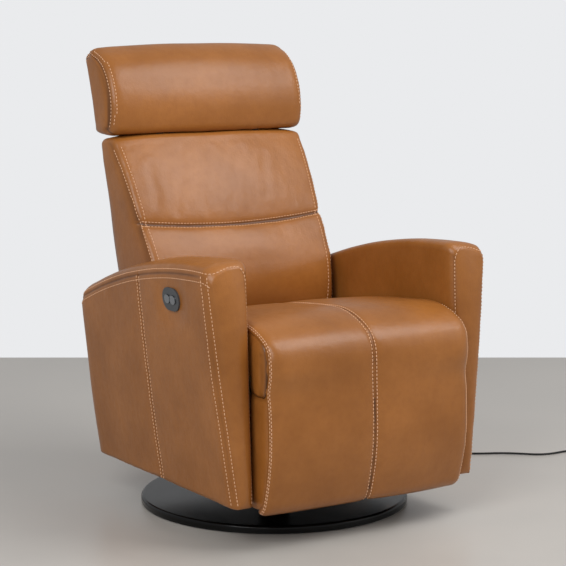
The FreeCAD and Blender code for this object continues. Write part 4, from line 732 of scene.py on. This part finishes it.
def chair_core():
    ups = shares(0.18, 0.008)
    overs = shares(0.5, 0.012)
    stations = (shares(2 * FOAM_HALF / 1000, 0.012) * 2 - 1) * FOAM_HALF
    first, second, low, high = [], [], [], []
    for x in stations:
        line = seat_line(x, 5.0)[::-1]
        split = len(line) - 30
        first.append(spaced(across_x(x, line[:split + 1]), ups))
        high.append(spaced(across_x(x, line[split:]), overs))
        start, end = first[-1][0], (x, line[-1][0], SEAT_LOW_Z)
        low.append(spaced([start, end], overs))
        second.append(spaced([end, (x, *line[-1])], ups))
    return in_metres(first, second, low, high), ups, overs


(first, second, low, high), ups, overs = chair_core()
seat_form = Form(first, second, low, high, ups, overs, (0.0065, 0.0065))
side_lines = [seat_form.line(i=i, k=0) for i in (0, seat_form.size[0])]
side_lines += [seat_form.line(i=i, j=seat_form.size[1]) for i in (0, seat_form.size[0])]
seat_form.seam(side_lines, 0.001, 0.006)
seat_form.gathers(side_lines, 0.0022, 0.03, 0.05, 1)
seat_body = seat_form.finished("seat_foam_and_sides", LEATHER)

ups = shares(0.29, 0.008)
overs = shares(0.09, 0.009)
stations = (shares(2 * FOAM_HALF / 1000, 0.012) * 2 - 1) * FOAM_HALF
stations = np.sort(np.concatenate((stations, (-252.6, -251.4, 251.4, 252.6))))
first, second, low, high = [], [], [], []
for x in stations:
    line = pad_line(x, 5.0)[::-1]
    first.append(spaced(across_x(x, line), ups))
    top, bottom = first[-1][-1], first[-1][0]
    rear = -362.0 + 40.0 * min(1.0, max(0.0, abs(x) - 251.5))
    high.append(spaced([top, (x, rear, top[2])], overs))
    low.append(spaced([bottom, (x, rear, bottom[2])], overs))
    second.append(spaced([low[-1][-1], high[-1][-1]], ups))
pad_form = Form(*in_metres(first, second, low, high), ups, overs, (0.0055, 0.0055))
pad_form.gathers([pad_form.line(i=i, k=0) for i in (0, pad_form.size[0])], 0.0015, 0.03, 0.04, 2)
# The footrest's sides are drawn in a little below its top edge, with painted shade along the pinch
pinch = [np.array(((s * 0.2665, -0.415, 0.346), (s * 0.2665, -0.33, 0.346))) for s in (-1, 1)]
pad_form.seam(pinch, 0.0055, 0.008)
pad_body = pad_form.finished("footrest_foam_and_sides", LEATHER)

# Puffed leather gussets close the sides between the seat and the footrest
GUSSET_FRONT = [(-380, 343), (-389, 351), (-393, 374), (-395, 400), (-395, 425), (-390, 451), (-375, 474)]
GUSSET_REAR = [(-350, 343), (-336, 351), (-328, 374), (-325, 400), (-324, 425), (-324, 451), (-328, 474)]


def gusset(side, name):
    ups = shares(0.14, 0.006)
    overs = shares(0.06, 0.006)
    first, second, low, high = [], [], [], []
    for x in (262.5, 260.0, 256.0):
        front = spaced([(side * x, y, z) for y, z in GUSSET_FRONT], ups)
        rear = spaced([(side * x, y, z) for y, z in GUSSET_REAR], ups)
        first.append(front)
        second.append(rear)
        low.append(spaced([front[0], rear[0]], overs))
        high.append(spaced([front[-1], rear[-1]], overs))
    form = Form(*in_metres(first, second, low, high), ups, overs, (0.0085, 0.0), 2.5)
    # Painted shade darkens the gusset's rim all round, and more lightly the fold
    rim = [form.line(i=0, k=0), form.line(i=0, k=form.size[2]), form.line(i=0, j=0)]
    form.painted_shade = np.exp(-(form.away_from(rim) / 0.0055) ** 2)
    fold = [(side * 0.268, -0.374, 0.350), (side * 0.2685, -0.381, 0.39), (side * 0.268, -0.377, 0.44)]
    form.seam([np.array(fold)], 0.0026, 0.0036, 0.0, 0.03, 0.35)
    form.gathers([form.line(i=0, j=0)], 0.002, 0.011, 0.025, 20 + side)
    return form.finished(name, LEATHER)


left_gusset = gusset(-1, "left_knee_gusset")
right_gusset = gusset(1, "right_knee_gusset")

# The front panel runs in one piece from the seat's rear over the nose to the footrest's lower edge
COVER_HALF = 263.5
cover_ups = shares(1.0, 0.0085)
stations = (shares(2 * COVER_HALF / 1000, 0.009, (0.0, 0.5, 1.0)) * 2 - 1) * COVER_HALF
first, second, low, high = [], [], [], []
for x in stations:
    whole = np.concatenate((seat_line(x, 0.0)[:-4], pad_line(x, 0.0)[4:]))
    smooth = spaced(across_x(x, whole), np.linspace(0, 1, 160))
    for _ in range(6):
        smooth[1:-1] = smooth[1:-1] * 0.5 + (smooth[:-2] + smooth[2:]) * 0.25
    outer = spaced(smooth, cover_ups)
    tangent = np.gradient(outer, axis=0)
    out = np.column_stack((np.zeros(len(outer)), tangent[:, 2], -tangent[:, 1]))
    out = out / np.linalg.norm(out, axis=1, keepdims=True)
    inner = outer - out * 4.0
    first.append(outer)
    second.append(inner)
    low.append(spaced([outer[0], inner[0]], (0, 0.5, 1)))
    high.append(spaced([outer[-1], inner[-1]], (0, 0.5, 1)))
cover = Form(*in_metres(first, second, low, high), cover_ups, np.array((0, 0.5, 1)))
middle_i = int(np.argmin(np.abs(stations)))
edges = [cover.line(i=0, k=0), cover.line(i=cover.size[0], k=0)]
centre_seam = cover.line(i=middle_i, k=0)
all_normals = cover.normals()
cover_normals = np.array([all_normals[cover.index[(middle_i, j, 0)]] for j in range(cover.size[1] + 1)])
cover.seam([centre_seam], 0.0032, 0.0065, 0.004, 0.05)
cover.seam(edges, 0.0006, 0.004, 0.0, 0.03, 0.5)
cover.gathers([centre_seam] + edges, 0.0011, 0.022, 0.03, 3)
cover.soften(0.0014, 0.12, 4)
front_panel = cover.finished("seat_and_footrest_front_panel", LEATHER)
front_rows = [beside(centre_seam, cover_normals, s * SEAM_ROW_GAP) for s in (-1, 1)]
for edge_i, next_i, sign in ((0, 1, 1), (cover.size[0], cover.size[0] - 1, -1)):
    front_rows.append(cover.line(i=edge_i, k=0) + np.array((sign * 0.0040, 0, 0)))
    front_rows.append(cover.line(i=next_i, k=0) + np.array((sign * 0.0015, -0.001, 0.001)))
front_stitches = stitch_rows("front_panel_stitches", front_rows, [front_panel])

# Back
def back_line(share, sunk=0.0):
    """The back's outline at one place across: the front from its lower edge up, and the rest."""
    half = 258.0
    inset = edge_inset(share * half, half, 14.0) + sunk
    fore = crown_at(share, 1.0, 12.0) - inset
    puff = crown_at(share, 1.0, 4.5)
    top = 859.0 - inset
    sag = crown_at(share, 1.0, 14.0)
    low_edge = (138.0 + inset, 440.0)
    front_low = (120.0 + inset, 458.0)
    knee = (135.0 - fore, 567.0)
    seam = (194.0 - fore - sag * 0.5, 668.0 - sag)
    rise = 9.5 * (1 - abs(share) ** 5)
    front_top = (303.0 - fore, top - 12.0 + rise)
    top_edge = (320.0 - fore, top + rise)
    rear_edge = (363.0 - inset, top)
    rear_top = (372.0 - inset, top - 10.0)
    rear_low = (311.0 - inset, 440.0)
    lower = np.concatenate(([low_edge], bow(low_edge, front_low, -5.3, 5),
                            bow(front_low, knee, -5.0 - fore * 0.45), bow(knee, seam, -2.3 - puff)))
    upper = np.concatenate(([seam], bow(seam, front_top, -6.4 - puff, 16),
                            bow(front_top, top_edge, -3.9, 5)))
    crown = 9.0 * (1 - abs(share) ** 5)
    over = np.concatenate(([top_edge], bow(top_edge, rear_edge, -crown, 8),
                           bow(rear_edge, rear_top, -3.2, 4)))
    return lower, upper, over, rear_low


def back_at(share, points):
    """Places on the back, which is 246 mm to each side at its lower edge and 270 mm at 856 mm."""
    points = np.asarray(points)
    half = 246.0 + 24.0 * (points[:, 1] - 440.0) / 416.0
    return np.column_stack((share * half, points))


lower_shares = shares(0.27, 0.009, (1.0,))
upper_shares = shares(0.24, 0.009, (0.0,))
overs = shares(0.07, 0.009)
stations = shares(0.52, 0.010, (0.0, 1.0)) * 2 - 1
stations = stations * 0.993
first, second, low, high = [], [], [], []
for share in stations:
    lower, upper, over, rear_low = back_line(share)
    front_upper = spaced(back_at(share, upper), upper_shares)
    front = np.concatenate((spaced(back_at(share, lower), lower_shares), front_upper[1:]))
    first.append(front)
    high.append(spaced(back_at(share, over), overs))
    rear_low = back_at(share, [rear_low])[0]
    low.append(spaced([front[0], rear_low], overs))
    ups = np.concatenate((lower_shares * 0.53, 0.53 + upper_shares[1:] * 0.47))
    second.append(spaced([rear_low, high[-1][-1]], ups))
back = Form(*in_metres(first, second, low, high), ups, overs, (0.005, 0.005))
seam_j = len(lower_shares) - 1
cross_seam = back.line(j=seam_j, k=0)
back_edges = [back.line(i=0, k=0), back.line(i=back.size[0], k=0)]
rear_edges = [back.line(i=0, k=back.size[2]), back.line(i=back.size[0], k=back.size[2])]
all_normals = back.normals()
cross_normals = np.array([all_normals[back.index[(i, seam_j, 0)]] for i in range(back.size[0] + 1)])
back.seam([cross_seam], 0.0042, 0.007, 0.003, 0.04)
back.seam(back_edges, 0.0016, 0.005, 0.0, 0.03, 0.7)
back.seam(rear_edges, 0.0012, 0.004, 0.0, 0.03, 0.6)
back.gathers([cross_seam] + back_edges, 0.0014, 0.022, 0.035, 5)
back.soften(0.0018, 0.11, 6)
# Soft folds on the sloping front of the upper back, each from (x, z) to (x, z)
CREASES = [((-0.105, 0.833), (-0.15, 0.69)), ((-0.03, 0.83), (-0.082, 0.70)),
           ((0.06, 0.826), (-0.004, 0.70)), ((0.13, 0.81), (0.10, 0.72)), ((-0.19, 0.80), (-0.21, 0.71))]
for number, ((x0, z0), (x1, z1)) in enumerate(CREASES):
    steps = np.linspace(0, 1, 12)
    line = [(x0 + (x1 - x0) * s + 0.006 * math.sin(5 * s + number), 0.0, z0 + (z1 - z0) * s) for s in steps]
    line = [(x, 0.178 + (z - 0.668) * 0.56, z) for x, _, z in line]
    away = back.away_from([line])
    back.move(-0.0011 * np.exp(-(away / 0.010) ** 2) + 0.0006 * np.exp(-((away - 0.02) / 0.012) ** 2))
back_form = back.finished("back_with_wedge_sides", LEATHER)
back_rows = [beside(cross_seam, cross_normals, s * SEAM_ROW_GAP)[2:-2] for s in (-1, 1)]
for edge, sign in zip(back_edges, (1, -1)):
    for gap in EDGE_ROW_GAPS:
        back_rows.append(edge[3:-3] + np.array((sign * gap, 0, 0)))
back_stitches = stitch_rows("back_stitches", back_rows, [back_form])

# Headrest
HEAD_HALF = 275.0


def head_line(x):
    inset = edge_inset(x, HEAD_HALF, 26.0) * 0.8
    fore = crown_at(x, HEAD_HALF, 10.0) - inset
    low = 872.5 + inset * 0.9
    top = 1079.0 - inset + crown_at(x, HEAD_HALF, 9.0)
    front = 300.0 - fore
    lip = 459.0 - inset
    rear_low = (403.0 - inset, low)
    rear_top = (lip - 21.6, 1032.6)
    lip_under = (lip - 10.8, 1038.0)
    lip_over = (lip - 18.0, top - 7.3)
    brow = (front + 92.0, top - 4.4)
    upper = (front + 12.0, 998.0)
    lower = (front, low + 22.0)
    low_edge = (front + 20.0, low)
    face = np.concatenate(([low_edge], bow(low_edge, lower, -6.0, 5), bow(lower, upper, -8.0, 10),
                           bow(upper, brow, -13.5, 12)))
    over = np.concatenate(([brow], bow(brow, lip_over, -7.3, 8), bow(lip_over, lip_under, -12.0, 10)))
    rear = np.array([rear_low, rear_top, lip_under])
    under = np.concatenate(([low_edge], bow(low_edge, rear_low, 3.5, 8)))
    return face, over, rear, under


ups = shares(0.24, 0.008)
overs = shares(0.12, 0.007)
stations = (shares(0.53, 0.010, (0.0, 1.0)) * 2 - 1) * (HEAD_HALF - 1.5)
first, second, low, high = [], [], [], []
for x in stations:
    face, over, rear, under = head_line(x)
    first.append(spaced(across_x(x, face), ups))
    high.append(spaced(across_x(x, over), overs))
    second.append(spaced(across_x(x, rear), ups))
    low.append(spaced(across_x(x, under), overs))
head = Form(*in_metres(first, second, low, high), ups, overs, (0.008, 0.008))
last_i, top_j = head.size[0], head.size[1]
head_edges = [np.concatenate((head.line(i=i, k=0), head.line(i=i, j=top_j)[1:])) for i in (0, last_i)]
head.seam(head_edges, 0.0014, 0.005, 0.0, 0.03, 0.7)
# The leather is drawn in under the overhanging lip down both sides, with painted shadow there
under_lip = [edge + np.array((sign * -0.001, 0.006, -0.006)) for edge, sign in zip(head_edges, (1, -1))]
head.seam(under_lip, 0.0022, 0.005, 0.0, 0.03, 1.0)
head.seam([head.line(j=0, k=0)], 0.0012, 0.005)
head.gathers(head_edges + [head.line(j=0, k=0)], 0.0014, 0.025, 0.035, 7)
head.soften(0.0016, 0.12, 8)
head_form = head.finished("headrest_pillow", LEATHER)
head_rows = []
for edge, sign in zip(head_edges, (1, -1)):
    for gap in EDGE_ROW_GAPS:
        head_rows.append(edge[2:] + np.array((sign * gap, 0, 0)))
head_stitches = stitch_rows("headrest_stitches", head_rows, [head_form])


# Arms
ARM_LOW_Z = 100.0
ARM_HEIGHT = 541.0
ARM_LENGTH = 601.0
ARM_INNER_X = 272.0
ARM_END_ROUND = 26.0
ARM_END_ARC_R = 42.0
ARM_SHOULDER_R = 28.0
ARM_SHOULDER_TURN = math.radians(68)
ARM_INNER_R = 14.0
# The double seam on the front outer corner, and the stitching down the front's inner side, right arm
ARM_CORNER_SEAM = ((0.377, -0.318, 0.612), (0.3605, -0.330, 0.453), (0.342, -0.344, 0.277),
                   (0.324, -0.357, 0.104))
ARM_INNER_STITCHING = ((0.284, -0.336, 0.600), (0.283, -0.344, 0.45), (0.282, -0.354, 0.27),
                       (0.281, -0.363, 0.106))


def arm_crest(share):
    """The crest's height: through 641 mm in front, 610 mm at 0.51 of the length and 516 mm behind."""
    at_front = 641.0 * (share - 0.51) * (share - 1) / 0.51
    at_middle = 610.0 * share * (share - 1) / (0.51 * -0.49)
    return at_front + at_middle + 516.0 * share * (share - 0.51) / 0.49


def arm_place(share, x, z):
    climb = (z - ARM_LOW_Z) / ARM_HEIGHT
    front = -362.0 + 28.0 * climb
    rear = 288.0 + 20.0 * climb
    return (x, front + (rear - front) * share, z)


def arm_station(share, ups, overs):
    depth = min(share, 1 - share) * ARM_LENGTH
    draw = 0.0
    if depth < ARM_END_ROUND:
        draw = 1 - math.sqrt(1 - ((ARM_END_ROUND - depth) / ARM_END_ARC_R) ** 2)
    rear = share > 0.5
    side_draw = 16.0 if rear else 50.0
    crest = arm_crest(share) - (30.0 if rear else 60.0) * draw
    inner = ARM_INNER_X + (10.0 if rear else 50.0) * draw

    def outer(z):
        return 324.0 + 56.0 * (z - ARM_LOW_Z) / ARM_HEIGHT - side_draw * draw

    shoulder = crest - 11.0 - ARM_SHOULDER_R * math.sin(ARM_SHOULDER_TURN)
    seam_turn = math.radians(12)
    rim = outer(shoulder)
    middle = (ARM_LOW_Z + shoulder) / 2
    neck = crest - 2.0 - ARM_INNER_R
    side = [arm_place(share, outer(z) + 4.0 * (1 - ((z - middle) / (middle - ARM_LOW_Z)) ** 2), z)
            for z in np.linspace(ARM_LOW_Z, shoulder, 12)]
    arc = []
    for t in np.linspace(0, ARM_SHOULDER_TURN, 14):
        x = rim - ARM_SHOULDER_R * (1 - math.cos(t))
        arc.append(arm_place(share, x, shoulder + ARM_SHOULDER_R * math.sin(t)))
    inner_arc = []
    for t in np.linspace(math.radians(84), 0, 8):
        x = inner + ARM_INNER_R * (1 - math.cos(t))
        inner_arc.append(arm_place(share, x, neck + ARM_INNER_R * math.sin(t)))
    a, b = np.array(arc[-1]), np.array(inner_arc[0])
    top = []
    for s in np.linspace(0, 1, 8)[1:-1]:
        top.append(tuple(a + (b - a) * s + np.array((0, 0, 4.0 * 4 * s * (1 - s)))))
    cut = int(round((len(arc) - 1) * seam_turn / ARM_SHOULDER_TURN))
    first = spaced(side + arc[1:cut + 1], ups)
    high = spaced(arc[cut:] + top + inner_arc, overs)
    second = spaced([arm_place(share, inner, ARM_LOW_Z), arm_place(share, inner, neck)], ups)
    low = spaced([first[0], second[0]], overs)
    return first, second, low, high


ARM_SEAM = 0.509
ups = shares(0.5, 0.009, (1.0,))
overs = shares(0.16, 0.008, (0.0,))
stations = shares(0.62, 0.010, (ARM_SEAM,))
# More stations where the ends are rounded
near_end = np.linspace(0, 0.045, 9) ** 1.6 * 2.6
stations = np.unique(np.round(np.concatenate((stations, near_end, 1 - near_end)), 5))
kept = [0.0]
for share in stations[1:]:
    if share - kept[-1] > 0.0012:
        kept.append(float(share))
kept[-1] = 1.0
sections = [arm_station(share, ups, overs) for share in kept]
right_parts = [np.array([s[n] for s in sections]) / 1000 for n in range(4)]
seam_i = int(np.argmin(np.abs(np.array(kept) - ARM_SEAM)))
CONTROL = Vector((-0.370, -0.166, 0.543))
CONTROL_OUT = Vector((-0.99469, 0.0, -0.10296)).normalized()


def arm(side, name):
    parts = [part * np.array((side, 1, 1)) for part in right_parts]
    form = Form(*parts, ups, overs, (0.016, 0.007), round_ends=True)
    _, na, nb = form.size
    top_line = form.line(j=na, k=0)[::-1]
    middle = form.line(i=seam_i, k=0)
    bottom = form.line(j=0, k=0)
    front_inner = form.line(i=0, k=nb)
    corner = [np.array((side * x, y, z)) for x, y, z in ARM_CORNER_SEAM]
    groove = form.away_from([top_line])
    form.seam([middle], 0.0016, 0.005, 0.0015, 0.05, 0.4)
    form.seam([corner], 0.0011, 0.005, 0.0, 0.03, 0.25)
    # The groove under the top edge starts behind the front corner, and is darkened with painted shade
    fade = np.clip((form.points[:, 1] + 0.318) / 0.05, 0, 1)
    form.move(-0.0032 * np.exp(-(groove / 0.0030) ** 2) * fade)
    form.painted_shade = np.maximum(form.painted_shade, 0.7 * np.exp(-(groove / 0.0028) ** 2) * fade)
    form.seam([front_inner], 0.0012, 0.005, 0.0, 0.03, 0.4)
    form.gathers([middle, corner, top_line, bottom], 0.0012, 0.024, 0.03, 9 + side)
    form.soften(0.0014, 0.13, 11 + side)
    if side < 0:
        flatten_for_control(form)
    made = form.finished(name, LEATHER)
    sideways = np.array((0, 1, 0))
    rows = [middle + sideways * s for s in (-0.006, 0.006)]
    rows += [spaced(corner, np.linspace(0, 1, 60)) + sideways * s for s in (0.011, -0.011)]
    rows.append(top_line[2:-2] + np.array((0, 0, -0.011)))
    over_front = form.line(i=0, j=na)
    high = top_line[2:-10] + np.array((-side * 0.002, 0, 0.010))
    round_front = over_front[4:-2] + np.array((0, 0.004, 0.004))
    inner_points = [(side * x, y, z) for x, y, z in ARM_INNER_STITCHING]
    inner_run = spaced(inner_points, np.linspace(0, 1, 60))
    turned = spaced(np.concatenate((high, round_front, inner_run)), np.linspace(0, 1, 200))
    for _ in range(12):
        turned[1:-1] = turned[1:-1] * 0.5 + (turned[:-2] + turned[2:]) * 0.25
    rows.append(turned)
    return made, stitch_rows(name + "_stitches", rows, [made])


def flatten_for_control(form):
    """Keeps the leather just under the bezel's rim, as it is stretched flat there."""
    out = np.array(CONTROL_OUT)
    offset = form.points - np.array(CONTROL)
    height = offset @ out
    flat = np.linalg.norm(offset - height[:, None] * out, axis=1)
    hold = np.clip((0.075 - flat) / 0.03, 0, 1)
    near = (np.abs(height) < 0.03) & (hold > 0)
    over = np.where(near, np.maximum(height + 0.0008, 0) * hold, 0)
    form.points = form.points - over[:, None] * out


left_arm, left_arm_stitches = arm(-1, "left_arm_leather")
right_arm, right_arm_stitches = arm(1, "right_arm_leather")

# Rear panel under the back
PANEL_HALF = 267.0
PANEL_LOW_Z = 100.5
PANEL_HEIGHT = 299.0
PANEL_FRONT_Y = 245.5
ups = shares(0.3, 0.010)
overs = shares(0.012, 0.006)
stations = (shares(0.53, 0.012, (0.5,)) * 2 - 1) * PANEL_HALF
first, second, low, high = [], [], [], []
for x in stations:
    swell = 3.0 * (1 - (x / PANEL_HALF) ** 6)
    ends = [(x, PANEL_FRONT_Y, z) for z in (PANEL_LOW_Z, PANEL_LOW_Z + PANEL_HEIGHT)]
    first.append(spaced(ends, ups))
    rear = []
    for u in np.linspace(0, 1, 30):
        rear.append((x, 258.0 + swell * math.sin(math.pi * u) ** 0.35, PANEL_LOW_Z + PANEL_HEIGHT * u))
    second.append(spaced(rear, ups))
    low.append(spaced([first[-1][0], second[-1][0]], overs))
    high.append(spaced([first[-1][-1], second[-1][-1]], overs))
panel = Form(*in_metres(first, second, low, high), ups, overs)
middle_i = int(np.argmin(np.abs(stations)))
panel_seam = panel.line(i=middle_i, k=panel.size[2])
panel.seam([panel_seam], 0.0016, 0.005)
panel.soften(0.0009, 0.09, 13)
rear_cover = panel.finished("rear_panel_leather_cover", LEATHER)
rear_rows = [panel_seam + np.array((s * SEAM_ROW_GAP, 0, 0)) for s in (-1, 1)]
rear_stitches = stitch_rows("rear_panel_stitches", rear_rows, [rear_cover])

# What each piece rides on, stands for, and is filled with
RIDES = [
    (seat_body, "chair", "seat_leather", ["seat_cushion"]),
    (pad_body, "footrest", "footrest_leather", ["footrest_pad"]),
    (back_form, "back", "back_leather", ["back_cushion", "back_shell"]),
    (back_stitches, "back", "back_leather", []),
    (head_form, "headrest", "headrest_leather", ["headrest_cushion"]),
    (head_stitches, "headrest", "headrest_leather", []),
    (left_arm, "chair", "arm_leather", ["left_arm_pad"]),
    (left_arm_stitches, "chair", "arm_leather", []),
    (right_arm, "chair", "arm_leather", ["right_arm_pad"]),
    (right_arm_stitches, "chair", "arm_leather", []),
    (rear_cover, "chair", "rear_panel_leather", ["rear_panel"]),
    (rear_stitches, "chair", "rear_panel_leather", []),
]
for piece, body, slot, nodes in RIDES:
    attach(piece, body)
    if nodes:
        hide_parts(*nodes)
for piece in (front_panel, front_stitches, left_gusset, right_gusset):
    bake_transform(piece)

# Carried-over nodes take their finish by their slot in the record
for entry in frame["record"]["subparts"]:
    finish = SLOT_FINISHES.get(entry["material_slot"])
    if finish and entry["node"] in frame["nodes"]:
        dressed(frame["nodes"][entry["node"]], finish)

# Floor, backdrop and lamps
FLOOR_HALF = 1.85
floor_mesh = bmesh.new()
bmesh.ops.create_grid(floor_mesh, x_segments=4, y_segments=4, size=FLOOR_HALF)
floor_finish = Finish("Pale polished floor")
floor_place = floor_finish.place()
floor_clouds = floor_finish.noise(floor_place, 3.0, 5.0, 0.6)
floor_finish.set(Base_Color=floor_finish.mix(floor_clouds, srgb(184, 179, 172), srgb(199, 194, 187)),
                 Roughness=0.22 + 0.2 * floor_clouds)
floor = new_object("floor", floor_mesh, floor_finish.owner)
floor.rotation_euler = (0, 0, math.radians(-32.0))
floor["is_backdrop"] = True

world = bpy.data.worlds.new("studio")
SCENE.world = world
world.use_nodes = True
sky = Finish("studio", world)
camera_ray = sky.node("ShaderNodeLightPath", {}, {}, "Is Camera Ray")
reflection_ray = sky.node("ShaderNodeLightPath", {}, {}, "Is Reflection Ray")
sky.set(Color=srgb(234, 235, 237), Strength=0.34 + 0.66 * camera_ray + 0.2 * reflection_ray)


def softbox(name, place, aim, size, watts):
    lamp = bpy.data.lights.new(name, "AREA")
    lamp.shape = "RECTANGLE"
    lamp.size = size[0]
    lamp.size_y = size[1]
    lamp.energy = watts
    made = bpy.data.objects.new(name, lamp)
    made.location = place
    made.rotation_euler = (Vector(aim) - Vector(place)).to_track_quat("-Z", "Y").to_euler()
    SCENE.collection.objects.link(made)


softbox("key_window", (-3.2, -2.3, 2.95), (0, 0, 0.6), (2.2, 2.2), 92)
softbox("fill_right", (3.2, -3.2, 2.4), (0, 0, 0.5), (2.6, 2.2), 18)
softbox("overhead", (1.2, -1.4, 2.9), (0, 0, 0.5), (1.9, 1.9), 50)

low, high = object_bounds()
